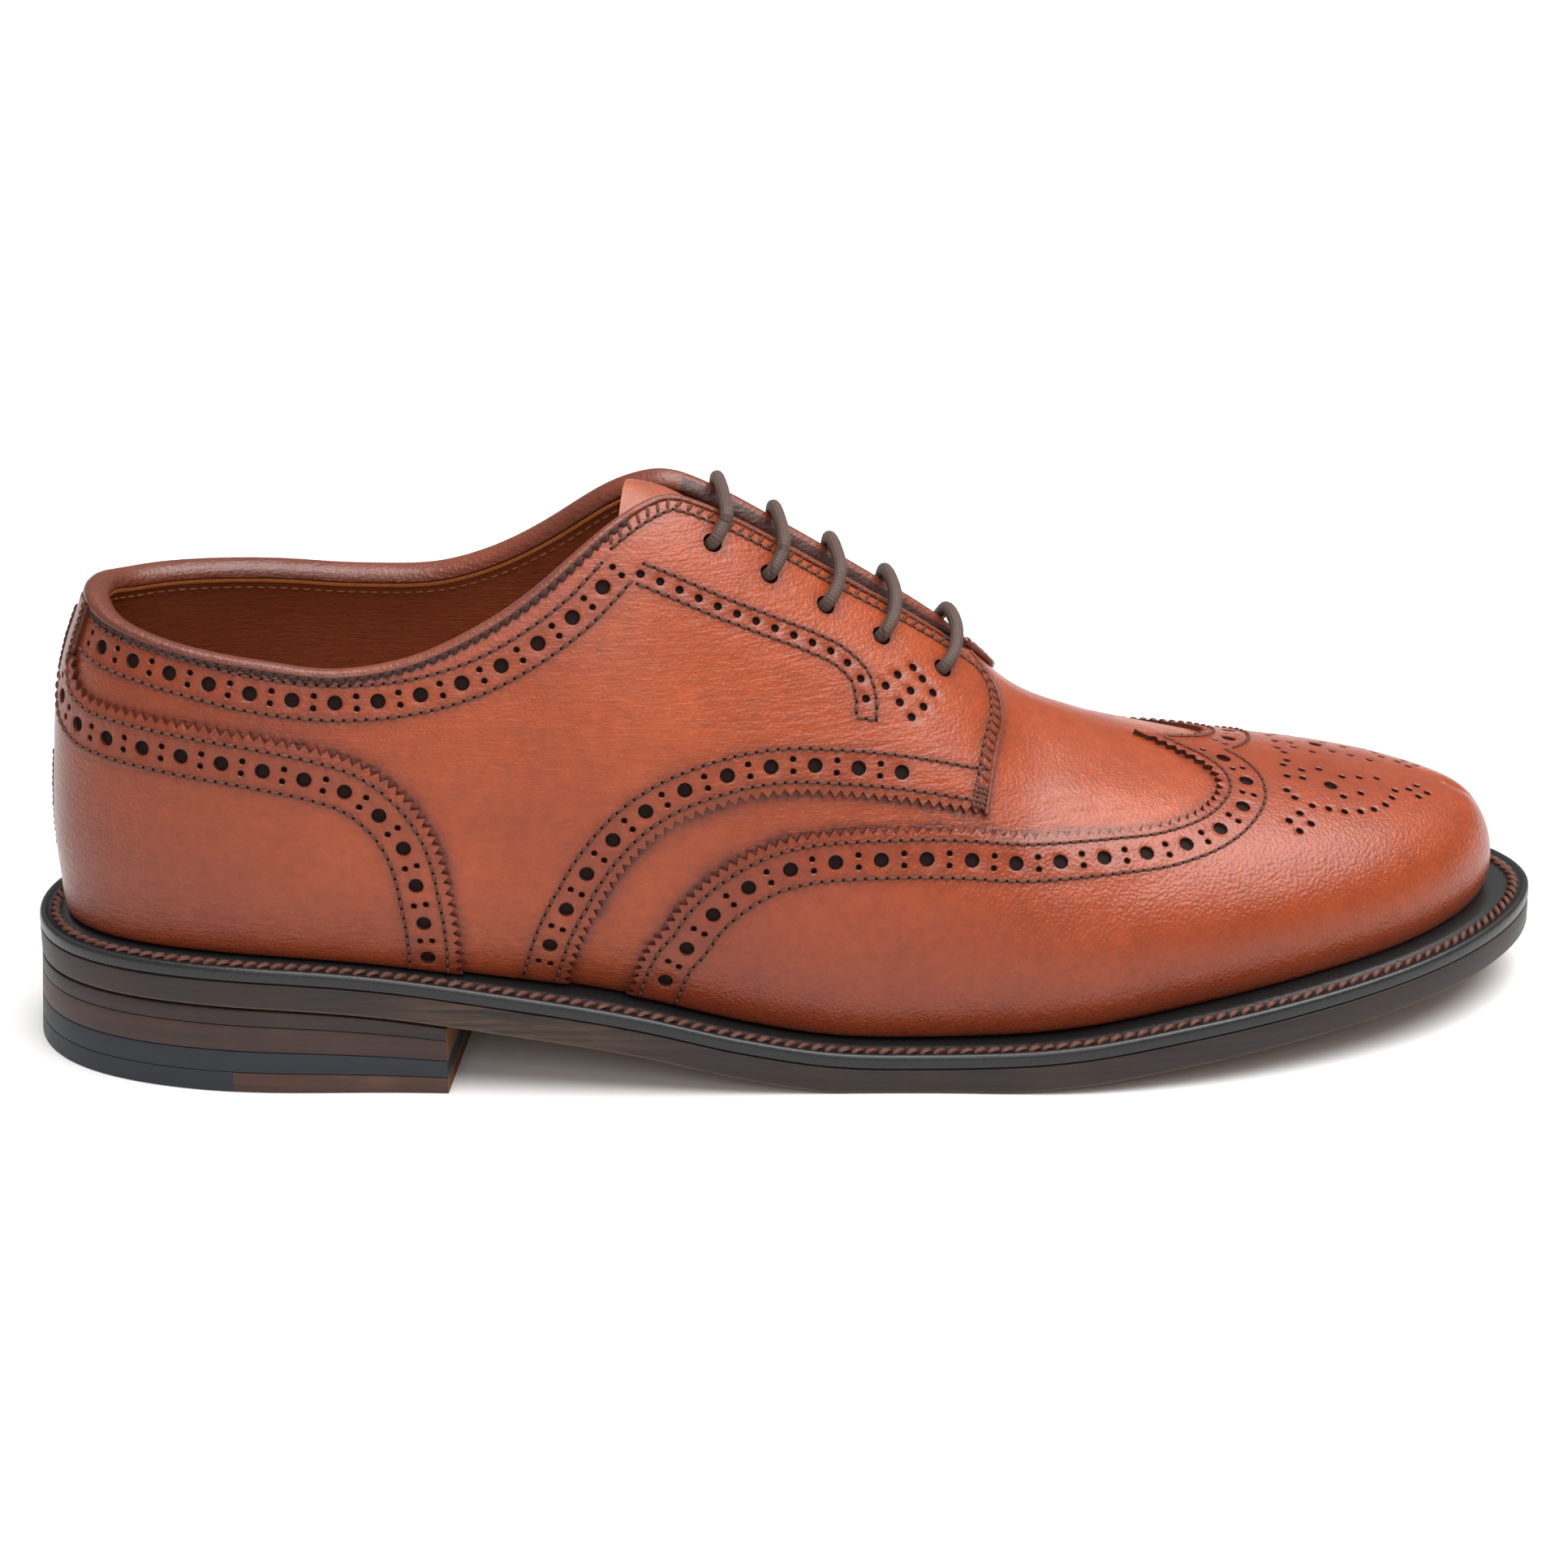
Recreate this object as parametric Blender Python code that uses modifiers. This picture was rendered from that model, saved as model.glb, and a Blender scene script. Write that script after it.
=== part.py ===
"""Full-brogue derby shoe, right foot, size about UK 9, as separate leather pieces on a stacked heel.

Frame: +X toe, +Z up, -Y the outer (lateral) side and +Y the inner (medial) side, floor at z = 0.
The last, the foot form inside the shoe, is one function: last_points(around, up).
  around  0 at the back of the heel, -1 and +1 at the toe; negative runs along the outer side.
  up      0 at the feather line, where the upper meets the welt, and 1 on the ridge of the last.
Every leather piece of the upper is cut in that chart and set at its own distance from the last.
"""
import math

import bmesh
import bpy
import numpy as np
from mathutils import Vector
from mathutils.geometry import delaunay_2d_cdt

# Driving sizes of the last and the sole, in metres
SOLE_LENGTH = 0.308
BALL_WIDTH = 0.1025
INSTEP_HEIGHT = 0.102
HEEL_HEIGHT = 0.0185
TOE_SPRING = 0.0116
TOE_SWING = 0.016
WELT_THICKNESS = 0.0026
OUTSOLE_THICKNESS = 0.0052
TREAD_FLAT = 0.0005
CLEARANCE = 0.0003
SEAM_GAP = 0.0008
LAYER_GAP = 0.0006

# How far the upper stands back from the edge of the welt
HEEL_SETBACK = 0.006
TOE_SETBACK = 0.0086
WELT_STRIP = 0.018

# Leather layers, measured inwards from the face of the quarters and the wing cap
PANEL_LEATHER = 0.0012
UPPER_WALL = 0.002
LINING_FACE = PANEL_LEATHER + LAYER_GAP + UPPER_WALL
INSOLE_THICKNESS = 0.003
INSOLE_INSET = 0.0045

# Opening and lacing
THROAT_GAP_TOP = 0.021
THROAT_GAP_BOTTOM = 0.0085
EYELET_COUNT = 5
EYELET_PITCH = 0.011
EYELET_RADIUS = 0.0021
EYELET_SETBACK = 0.0063
FIRST_EYELET = 0.0085
LACE_DIAMETER = 0.0026
LACE_ARCH = 0.0016
TONGUE_LEATHER = 0.0016
BINDING_DEPTH = 0.0032
BINDING_PROUD = 0.0005
BINDING_ROLL = 0.0016

# Heel stack, from the outsole down to the floor
HEEL_BREAST = 0.0885
BREAST_TURN = math.radians(7)
TOP_PIECE_JOINT = 0.0455
HEEL_FLARE = 0.0012
BACK_FLARE_REACH = 0.1

# Steps of the meshes
SHEET_PITCH = 0.0085
SOLE_STATIONS = 44
TOPLINE_STATIONS = 24

# Half widths of the sole as shares of the ball width, and its rises as shares of heel and spring
SOLE_COLUMNS = ("share", "lateral", "medial")
SOLE = (
    (0.00, 0.700, 0.683),
    (0.12, 0.332, 0.322),
    (0.25, 0.361, 0.341),
    (0.42, 0.415, 0.283),
    (0.58, 0.459, 0.400),
    (0.70, 0.502, 0.498),
    (0.82, 0.459, 0.468),
    (0.93, 0.317, 0.317),
    (1.00, 0.527, 0.566),
)
RISE_COLUMNS = ("share", "heel", "spring", "swing")
RISE = (
    (0.00, 1.00, 0.00, 0.00),
    (0.20, 0.94, 0.00, 0.00),
    (0.30, 0.735, 0.00, 0.00),
    (0.40, 0.46, 0.00, 0.08),
    (0.46, 0.21, 0.00, 0.16),
    (0.52, 0.03, 0.00, 0.25),
    (0.58, 0.00, 0.00, 0.33),
    (0.64, 0.00, 0.06, 0.42),
    (0.76, 0.00, 0.44, 0.62),
    (0.88, 0.00, 0.75, 0.84),
    (1.00, 0.00, 1.00, 1.00),
)

# Sections of the last. lateral, medial: half width as shares of the ball width. belly, ridge: heights
# of the widest line and of the ridge above the feather line, as shares of the instep height. power:
# 1 is an elliptic side, less is boxy and more leans like a tent. tuck: feather width over full width.
LAST_COLUMNS = ("share", "lateral", "medial", "belly", "ridge", "lateral_power", "medial_power",
                "lateral_tuck", "medial_tuck")
LAST = (
    (0.00, 0.640, 0.625, 0.20, 0.84, 1.00, 1.00, 0.90, 0.90),
    (0.12, 0.298, 0.293, 0.20, 0.86, 1.00, 1.00, 0.90, 0.90),
    (0.25, 0.327, 0.302, 0.19, 0.91, 1.05, 1.05, 0.90, 0.90),
    (0.36, 0.346, 0.273, 0.18, 1.00, 1.10, 1.02, 0.90, 0.86),
    (0.42, 0.366, 0.273, 0.17, 1.02, 1.12, 1.02, 0.91, 0.85),
    (0.50, 0.390, 0.302, 0.16, 0.93, 1.18, 1.15, 0.92, 0.88),
    (0.56, 0.405, 0.341, 0.14, 0.82, 1.20, 1.20, 0.93, 0.91),
    (0.62, 0.424, 0.385, 0.13, 0.685, 1.20, 1.20, 0.93, 0.93),
    (0.66, 0.439, 0.415, 0.12, 0.57, 1.20, 1.20, 0.93, 0.94),
    (0.70, 0.449, 0.434, 0.11, 0.50, 1.15, 1.15, 0.93, 0.94),
    (0.78, 0.429, 0.429, 0.10, 0.39, 1.05, 1.05, 0.93, 0.94),
    (0.86, 0.371, 0.376, 0.09, 0.32, 0.95, 0.95, 0.93, 0.94),
    (0.93, 0.283, 0.288, 0.08, 0.27, 0.90, 0.90, 0.93, 0.93),
    (1.00, 0.507, 0.527, 0.06, 0.21, 0.85, 0.85, 0.93, 0.93),
)

# Back curve of the heel: height above the floor against how far it leans in, as shares of the instep
BACK_COLUMNS = ("height", "lean")
BACK = (
    (0.22, 0.008),
    (0.33, 0.001),
    (0.45, -0.004),
    (0.59, 0.005),
    (0.73, 0.021),
    (0.82, 0.045),
    (0.90, 0.075),
    (1.13, 0.157),
)
BACK_FADE = 0.20
TOE_ROUND = 0.011
TOE_TUCK = 0.0015
TOE_FADE = 0.15

# Edges in the chart, as read along the shoe: around, and up on the outer and the inner side
TOPLINE_COLUMNS = ("around", "lateral", "medial")
TOPLINE = (
    (0.00, 0.655, 0.655),
    (0.05, 0.640, 0.640),
    (0.10, 0.600, 0.608),
    (0.15, 0.572, 0.592),
    (0.20, 0.548, 0.578),
    (0.25, 0.528, 0.562),
    (0.30, 0.517, 0.548),
    (0.35, 0.557, 0.565),
    (0.40, 0.655, 0.660),
    (0.425, 0.745, 0.745),
    (0.45, 0.825, 0.825),
)
FACING_TOP = 0.45
THROAT_ROUND = 0.572
THROAT_END = 0.583
EDGE_COLUMNS = ("around", "up")
QUARTER_FRONT = (
    (0.581, 0.948),
    (0.590, 0.900),
    (0.594, 0.800),
    (0.589, 0.650),
    (0.582, 0.520),
)
QUARTER_LOWER = (
    (0.582, 0.520),
    (0.577, 0.503),
    (0.563, 0.475),
    (0.550, 0.463),
    (0.525, 0.440),
    (0.500, 0.415),
    (0.475, 0.372),
    (0.450, 0.325),
    (0.430, 0.265),
    (0.417, 0.200),
    (0.409, 0.110),
    (0.404, 0.020),
)
COUNTER_EDGE = (
    (0.352, 0.020),
    (0.353, 0.190),
    (0.345, 0.290),
    (0.327, 0.365),
    (0.293, 0.410),
    (0.236, 0.436),
    (0.167, 0.454),
    (0.110, 0.472),
    (0.072, 0.492),
)
DOG_TAIL_HALF = 0.055
WING_EDGE = (
    (0.428, 0.020),
    (0.435, 0.090),
    (0.451, 0.235),
    (0.480, 0.310),
    (0.512, 0.380),
    (0.552, 0.420),
    (0.588, 0.486),
    (0.612, 0.555),
    (0.665, 0.648),
    (0.684, 0.700),
    (0.699, 0.820),
    (0.690, 0.900),
    (0.662, 1.000),
)
FEATHER_MARGIN = 0.02

# Layers of the heel, as shares of its height from the outsole down
LAYER_COLUMNS = ("name", "top", "bottom")
HEEL_LAYERS = (
    ("heel_lift_upper", 0.00, 0.19),
    ("heel_lift_lower", 0.19, 0.50),
    ("heel_rubber_layer", 0.50, 0.76),
)
TOP_PIECE_SHARE = 0.76

TAN = (0.43, 0.09, 0.03, 1)
DARK_TAN = (0.2, 0.045, 0.02, 1)
EDGE_BROWN = (0.05, 0.025, 0.015, 1)
RUBBER_BLACK = (0.012, 0.013, 0.016, 1)
LACE_BROWN = (0.04, 0.03, 0.025, 1)


def start_clean():
    for thing in list(bpy.data.objects):
        bpy.data.objects.remove(thing, do_unlink=True)


def column(table, names, name):
    return np.array([row[names.index(name)] for row in table], float)


def smooth(stations, values, where):
    """A cubic curve through the stations that doesn't overshoot between close ones."""
    stations, values = np.asarray(stations, float), np.asarray(values, float)
    where = np.clip(np.asarray(where, float), stations[0], stations[-1])
    gaps = np.diff(stations)
    slopes = np.diff(values) / gaps
    tangents = np.empty_like(values)
    tangents[1:-1] = (slopes[:-1] * gaps[1:] + slopes[1:] * gaps[:-1]) / (gaps[:-1] + gaps[1:])
    tangents[0] = 1.5 * slopes[0] - 0.5 * tangents[1]
    tangents[-1] = 1.5 * slopes[-1] - 0.5 * tangents[-2]
    left = np.clip(np.searchsorted(stations, where, side="right") - 1, 0, len(gaps) - 1)
    width = gaps[left]
    share = (where - stations[left]) / width
    return ((2 * share**3 - 3 * share**2 + 1) * values[left]
            + (share**3 - 2 * share**2 + share) * width * tangents[left]
            + (3 * share**2 - 2 * share**3) * values[left + 1]
            + (share**3 - share**2) * width * tangents[left + 1])


def angle_of(share):
    return np.arccos(1 - 2 * np.clip(share, 0, 1))


def half_width(table, names, name, angle):
    """Half width along a rounded outline. The end rows set how blunt the two ends are."""
    angles = angle_of(column(table, names, "share"))
    widths = column(table, names, name) * BALL_WIDTH
    widths[1:-1] /= np.sin(angles[1:-1])
    return np.sin(angle) * smooth(angles, widths, angle)


def rise(name, x):
    return smooth(column(RISE, RISE_COLUMNS, "share"), column(RISE, RISE_COLUMNS, name), x / SOLE_LENGTH)


def middle_y(x):
    """The toe swings towards the inner side of the foot."""
    return TOE_SWING * rise("swing", x)


def sole_line(x):
    """The side view's curve: down from the heel, level at the ball and up to the toe."""
    return HEEL_HEIGHT * rise("heel", x) + TOE_SPRING * rise("spring", x)


def outsole_bottom(x):
    """The sole line, pressed flat where the ball of the foot stands on the floor."""
    return np.maximum(sole_line(x) - TREAD_FLAT, 0.0)


def outsole_top(x):
    return sole_line(x) + OUTSOLE_THICKNESS


def welt_bottom(x):
    return outsole_top(x) + CLEARANCE


def welt_top(x):
    return welt_bottom(x) + WELT_THICKNESS


def last_points(around, up, inset=0.0):
    """Points of the last, shrunk by inset, for arrays of chart places."""
    around, up = np.broadcast_arrays(np.asarray(around, float), np.asarray(up, float))
    around = (around + 1) % 2 - 1
    side = np.where(around < 0, -1.0, 1.0)
    angle = math.pi * np.abs(around)
    share = (1 - np.cos(angle)) / 2
    toe_end = SOLE_LENGTH - TOE_SETBACK
    x = HEEL_SETBACK + (toe_end - HEEL_SETBACK) * share
    angles = angle_of(column(LAST, LAST_COLUMNS, "share"))

    def along(name):
        return smooth(angles, column(LAST, LAST_COLUMNS, name), angle)

    def by_side(name):
        return np.where(side < 0, along("lateral_" + name), along("medial_" + name))

    width = np.where(side < 0, half_width(LAST, LAST_COLUMNS, "lateral", angle),
                     half_width(LAST, LAST_COLUMNS, "medial", angle)) - inset * np.sin(angle)
    belly = along("belly") * INSTEP_HEIGHT
    height = along("ridge") * INSTEP_HEIGHT - inset
    power = by_side("power")
    lowest = -np.arccos(np.clip(by_side("tuck"), 0, 1) ** (1 / power))
    turn = lowest + (math.pi / 2 - lowest) * np.clip(up, 0, 1)
    y = middle_y(x) + side * width * np.clip(np.cos(turn), 0, 1) ** power
    feather = welt_top(x) + CLEARANCE
    z = feather + belly + np.where(turn < 0, belly * np.sin(turn) / np.sin(-lowest),
                                   (height - belly) * np.sin(turn))
    back = smooth(column(BACK, BACK_COLUMNS, "height"), column(BACK, BACK_COLUMNS, "lean"),
                  z / INSTEP_HEIGHT) * INSTEP_HEIGHT
    x = x + back * np.clip(1 - share / BACK_FADE, 0, 1) ** 1.5
    near_toe = np.clip(1 - (1 - share) / TOE_FADE, 0, 1)
    near_toe = near_toe**2 * (3 - 2 * near_toe)
    pull = np.where(turn < 0, TOE_TUCK * (1 - np.cos(turn)) / (1 - np.cos(lowest)), TOE_ROUND * (1 - np.cos(turn)))
    return np.stack([x - pull * near_toe, y, z], -1)


def last_normals(around, up):
    """Outward normals. On the ridge both sides share one, without a sideways part."""
    step_around, step_up = 0.004, 0.012
    on_ridge = np.asarray(up) > 0.9999
    up = np.clip(up, step_up, 1 - 2 * step_up)
    along = last_points(around + step_around, up) - last_points(around - step_around, up)
    rising = last_points(around, up + step_up) - last_points(around, up - step_up)
    normal = np.cross(rising, along)
    normal[..., 1] = np.where(on_ridge, 0, normal[..., 1])
    return normal / np.linalg.norm(normal, axis=-1, keepdims=True)


def layer_points(around, up, depth):
    """Points at a depth under the face of the panels; a negative depth stands proud of them."""
    return last_points(around, up) - last_normals(around, up) * depth


def around_after(around, distance):
    """The chart place that lies a distance further towards the toe."""
    share = (1 - math.cos(math.pi * around)) / 2 + distance / (SOLE_LENGTH - TOE_SETBACK - HEEL_SETBACK)
    return float(angle_of(share)) / math.pi


def up_beside_ridge(around, distance):
    """The chart height whose point lies that far to the side of the ridge."""
    ups = np.linspace(0.4, 1, 240)
    line = last_points(np.full(240, around), ups)
    aside = np.abs(line[:, 1] - line[-1, 1])
    return float(np.interp(-distance, -aside, ups))


def throat_half(around):
    """Half of the gap between the facings; it narrows to the throat and closes in a round end."""
    along = (abs(around) - FACING_TOP) / (THROAT_END - FACING_TOP)
    half = (THROAT_GAP_TOP + (THROAT_GAP_BOTTOM - THROAT_GAP_TOP) * along) / 2
    closing = max(0.0, (abs(around) - THROAT_ROUND) / (THROAT_END - THROAT_ROUND))
    return half * math.sqrt(max(0.0, 1 - closing**2))


def opening_up(around):
    """Where the upper ends: the topline, then the edge of the facing."""
    if abs(around) >= FACING_TOP:
        return up_beside_ridge(around, throat_half(around))
    name = "lateral" if around < 0 else "medial"
    corner = up_beside_ridge(math.copysign(FACING_TOP, around), THROAT_GAP_TOP / 2)
    line = column(TOPLINE, TOPLINE_COLUMNS, name)
    line[-1] = corner
    return float(smooth(column(TOPLINE, TOPLINE_COLUMNS, "around"), line, abs(around)))


def chart_line(table, side, reverse=False):
    """A smooth line through an edge table, as chart points on one side of the shoe."""
    rows = np.stack([column(table, EDGE_COLUMNS, name) for name in EDGE_COLUMNS], -1)
    run = np.r_[0, np.cumsum(np.hypot(np.diff(rows[:, 0]) * 3.3, np.diff(rows[:, 1])))]
    count = max(6, int(run[-1] * 0.1 / SHEET_PITCH * 1.2))
    steps = np.linspace(0, run[-1], count)
    points = [(side * a, u) for a, u in zip(smooth(run, rows[:, 0], steps), smooth(run, rows[:, 1], steps))]
    return points[::-1] if reverse else points


def chart_matrix(around, up):
    """What a small step in the chart is in metres over the surface: along it and up it."""
    step_around, step_up = 0.002, 0.01
    along = (last_points(around + step_around, up) - last_points(around - step_around, up)) / (2 * step_around)
    high, low = min(up + step_up, 1), max(up - step_up, 0)
    rising = (last_points(around, high) - last_points(around, low)) / (high - low)
    first = along / np.linalg.norm(along)
    second = rising - first * rising.dot(first)
    second /= np.linalg.norm(second)
    return np.array([[along.dot(first), rising.dot(first)], [along.dot(second), rising.dot(second)]])


def ring_in_chart(around, up, radius, count=10):
    """A round hole of the last's surface, as chart points."""
    turns = np.arange(count) * 2 * math.pi / count
    circle = radius * np.stack([np.cos(turns), np.sin(turns)])
    return [(around + a, up + u) for a, u in np.linalg.solve(chart_matrix(around, up), circle).T]


def lowered(line, distance):
    """A chart line moved square to itself down the side of the shoe, by a length over the surface."""
    line = np.asarray(line, float)
    runs = np.gradient(line, axis=0)
    moved = []
    for place, run in zip(line, runs):
        matrix = chart_matrix(*place)
        flat = matrix @ run
        square = np.array([flat[1], -flat[0]]) / np.linalg.norm(flat)
        square *= -np.sign((np.linalg.solve(matrix, square))[1])
        moved.append(tuple(place + np.linalg.solve(matrix, square) * distance))
    return moved


def inside(points, polygon):
    """Even and odd crossings tell which points lie within a closed line."""
    points, polygon = np.asarray(points, float), np.asarray(polygon, float)
    result = np.zeros(len(points), bool)
    for (x0, y0), (x1, y1) in zip(polygon, np.roll(polygon, -1, axis=0)):
        crosses = (y0 > points[:, 1]) != (y1 > points[:, 1])
        if y0 != y1:
            result ^= crosses & (points[:, 0] < x0 + (points[:, 1] - y0) * (x1 - x0) / (y1 - y0))
    return result


def distance_to_line(points, polygon):
    nearest = np.full(len(points), np.inf)
    for start, end in zip(polygon, np.roll(polygon, -1, axis=0)):
        run = end - start
        share = np.clip(((points - start) @ run) / max(run @ run, 1e-12), 0, 1)
        nearest = np.minimum(nearest, np.linalg.norm(points - start - share[:, None] * run, axis=1))
    return nearest


def material(name, colour, roughness, metallic=0.0):
    made = bpy.data.materials.get(name) or bpy.data.materials.new(name)
    made.use_nodes = True
    shader = made.node_tree.nodes["Principled BSDF"]
    shader.inputs["Base Color"].default_value = colour
    shader.inputs["Roughness"].default_value = roughness
    shader.inputs["Metallic"].default_value = metallic
    return made


def add_object(name, mesh_data, collection, look):
    thing = bpy.data.objects.new(name, mesh_data)
    mesh_data.materials.append(look)
    collection.objects.link(thing)
    return thing


def thicken(thing, leather):
    """Give a sheet its leather inwards from its face."""
    shell = thing.modifiers.new("thickness", "SOLIDIFY")
    shell.thickness = leather
    shell.offset = -1
    shell.use_even_offset = False
    return thing


def leather_sheet(name, outline, holes, depth, thickness, collection, look):
    """A piece of leather cut in the chart, laid at a depth and given its thickness inwards."""
    chart = np.array([SOLE_LENGTH * 1.07, 0.1])
    loops = [np.array(loop) * chart for loop in [outline] + holes]
    grid_x = np.arange(math.floor(loops[0][:, 0].min() / SHEET_PITCH), math.ceil(loops[0][:, 0].max() / SHEET_PITCH))
    grid_y = np.arange(1, math.ceil(chart[1] / SHEET_PITCH))
    grid = np.array([(x * SHEET_PITCH, y * SHEET_PITCH) for x in grid_x for y in grid_y])
    grid = grid[inside(grid, loops[0])]
    for loop in loops:
        grid = grid[distance_to_line(grid, loop) > SHEET_PITCH * 0.45]
    for loop in loops[1:]:
        grid = grid[~inside(grid, loop)]
    points, edges = list(grid), []
    for loop in loops:
        first = len(points)
        points += list(loop)
        edges += [(first + i, first + (i + 1) % len(loop)) for i in range(len(loop))]
    flat, _, faces, _, _, _ = delaunay_2d_cdt([Vector(p) for p in points], edges, [], 0, 1e-7)
    flat = np.array([tuple(p) for p in flat])
    centres = np.array([flat[list(face)].mean(axis=0) for face in faces])
    keep = inside(centres, loops[0])
    for loop in loops[1:]:
        keep &= ~inside(centres, loop)
    places = flat / chart
    corners = layer_points(places[:, 0], places[:, 1], depth)
    form = bmesh.new()
    vertices = [form.verts.new(corner) for corner in corners]
    for face, kept in zip(faces, keep):
        if kept:
            form.faces.new([vertices[i] for i in face])
    bmesh.ops.delete(form, geom=[v for v in form.verts if not v.link_faces], context="VERTS")
    bmesh.ops.remove_doubles(form, verts=form.verts, dist=2e-5)
    bmesh.ops.dissolve_degenerate(form, edges=form.edges, dist=1e-5)
    bmesh.ops.recalc_face_normals(form, faces=form.faces)
    face_out = sum((f.normal.dot(Vector((0, f.calc_center_median().y - middle_y(f.calc_center_median().x), 0.01)))
                    * f.calc_area() for f in form.faces))
    if face_out < 0:
        bmesh.ops.reverse_faces(form, faces=form.faces)
    mesh_data = bpy.data.meshes.new(name)
    form.to_mesh(mesh_data)
    form.free()
    return thicken(add_object(name, mesh_data, collection, look), thickness)


def loft(name, rings, collection, look, closed=False):
    """A solid through closed rings of points; the ends are capped unless the run closes on itself."""
    form = bmesh.new()
    rows = [[form.verts.new(point) for point in ring] for ring in rings]
    pairs = list(zip(rows, rows[1:] + rows[:1])) if closed else list(zip(rows, rows[1:]))
    for row, after in pairs:
        for i in range(len(row)):
            j = (i + 1) % len(row)
            form.faces.new((row[i], row[j], after[j], after[i]))
    if not closed:
        form.faces.new(rows[0])
        form.faces.new(rows[-1])
    form.normal_update()
    bmesh.ops.triangulate(form, faces=[f for f in form.faces if len(f.verts) > 4], ngon_method="EAR_CLIP")
    bmesh.ops.recalc_face_normals(form, faces=form.faces)
    mesh_data = bpy.data.meshes.new(name)
    form.to_mesh(mesh_data)
    form.free()
    return add_object(name, mesh_data, collection, look)


def sole_edge(angle):
    """Both edges of the sole at an angle along its outline."""
    share = (1 - np.cos(angle)) / 2
    x = SOLE_LENGTH * share
    return (x, middle_y(x) - half_width(SOLE, SOLE_COLUMNS, "lateral", angle),
            middle_y(x) + half_width(SOLE, SOLE_COLUMNS, "medial", angle))


def sole_angles():
    return (np.arange(SOLE_STATIONS) + 0.5) * math.pi / SOLE_STATIONS


def plate_ring(x_lateral, x_medial, y_lateral, y_medial, top, bottom):
    return [(x_lateral, y_lateral, float(top(x_lateral))), (x_medial, y_medial, float(top(x_medial))),
            (x_medial, y_medial, float(bottom(x_medial))), (x_lateral, y_lateral, float(bottom(x_lateral)))]


def make_outsole(collection, look):
    rings = []
    for angle in sole_angles():
        x, y_lateral, y_medial = sole_edge(angle)
        rings.append(plate_ring(x, x, y_lateral, y_medial, outsole_top, outsole_bottom))
    return loft("outsole", rings, collection, look)


def outline_inset(loop, distance):
    """A closed outline moved inwards by a distance."""
    loop = np.asarray(loop, float)
    run = np.roll(loop, -1, axis=0) - np.roll(loop, 1, axis=0)
    inward = np.stack([-run[:, 1], run[:, 0]], -1)
    inward /= np.linalg.norm(inward, axis=1, keepdims=True)
    area = (loop[:, 0] * np.roll(loop[:, 1], -1) - np.roll(loop[:, 0], -1) * loop[:, 1]).sum()
    return loop + inward * distance * math.copysign(1, area)


def sole_loop():
    angles = sole_angles()
    x, y_lateral, y_medial = sole_edge(angles)
    return np.r_[np.c_[x, y_lateral], np.c_[x, y_medial][::-1]]


def make_welt(collection, look):
    outer = sole_loop()
    inner = outline_inset(outer, WELT_STRIP)
    rings = [[(a[0], a[1], float(welt_top(a[0]))), (b[0], b[1], float(welt_top(b[0]))),
              (b[0], b[1], float(welt_bottom(b[0]))), (a[0], a[1], float(welt_bottom(a[0])))]
             for a, b in zip(outer, inner)]
    return loft("welt", rings, collection, look, closed=True)


def make_insole(collection, look):
    around = (np.arange(SOLE_STATIONS) + 0.5) / SOLE_STATIONS
    feather = np.zeros_like(around)
    outline = outline_inset(np.r_[last_points(-around, feather)[:, :2], last_points(around, feather)[::-1, :2]],
                            INSOLE_INSET)
    count = len(around)
    rings = []
    for i in range(1, count - 1):
        left, right = outline[i], outline[2 * count - 1 - i]
        x = (left[0] + right[0]) / 2
        rings.append(plate_ring(x, x, left[1], right[1],
                                lambda v: welt_top(v) + CLEARANCE + INSOLE_THICKNESS,
                                lambda v: welt_top(v) + CLEARANCE))
    return loft("insole", rings, collection, look)


def heel_level(share):
    """A layer line of the heel, from just under the outsole at 0 to the floor at 1."""
    return lambda x: (outsole_bottom(x) - CLEARANCE) * (1 - share)


def heel_rings(top, bottom, start, end, grow):
    """Rings from the back of the heel to its slanted breast, or between two joints across it."""
    slope = math.tan(BREAST_TURN)
    angles = sole_angles()
    xs, lateral, medial = sole_edge(angles)

    def ring(x_middle, slanted):
        def edge(side, values):
            x = x_middle + (slope * side * 0.035 if slanted else 0)
            for _ in range(4):
                y = float(np.interp(x, xs, values))
                x = x_middle + (slope * y if slanted else 0)
            return x, y + side * grow
        x_lateral, y_lateral = edge(-1, lateral)
        x_medial, y_medial = edge(1, medial)
        backwards = grow * max(0.0, 1 - x_middle / (SOLE_LENGTH * BACK_FLARE_REACH))
        x_lateral, x_medial = x_lateral - backwards, x_medial - backwards
        return plate_ring(x_lateral, x_medial, y_lateral, y_medial, top, bottom)

    reach = slope * BALL_WIDTH * 0.4
    lowest = start + reach + 0.001 if start > 0 else 0
    middles = [x for x in xs if lowest < x < end - reach - 0.001]
    first = [ring(start, True)] if start > 0 else []
    return first + [ring(x, False) for x in middles] + [ring(end, True)]


def make_heel(collection, looks):
    for row in HEEL_LAYERS:
        layer = dict(zip(LAYER_COLUMNS, row))
        lower = heel_level(layer["bottom"])
        loft(layer["name"], heel_rings(heel_level(layer["top"]), lambda x, lower=lower: lower(x) + CLEARANCE, 0,
                                       HEEL_BREAST, HEEL_FLARE * layer["top"]), collection, looks[layer["name"]])
    top = heel_level(TOP_PIECE_SHARE)
    floor = heel_level(1.0)
    loft("top_piece_rubber", heel_rings(top, floor, 0, TOP_PIECE_JOINT, HEEL_FLARE),
         collection, looks["heel_rubber_layer"])
    loft("top_piece_leather", heel_rings(top, floor, TOP_PIECE_JOINT + CLEARANCE * 1.5, HEEL_BREAST, HEEL_FLARE),
         collection, looks["heel_lift_lower"])


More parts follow.
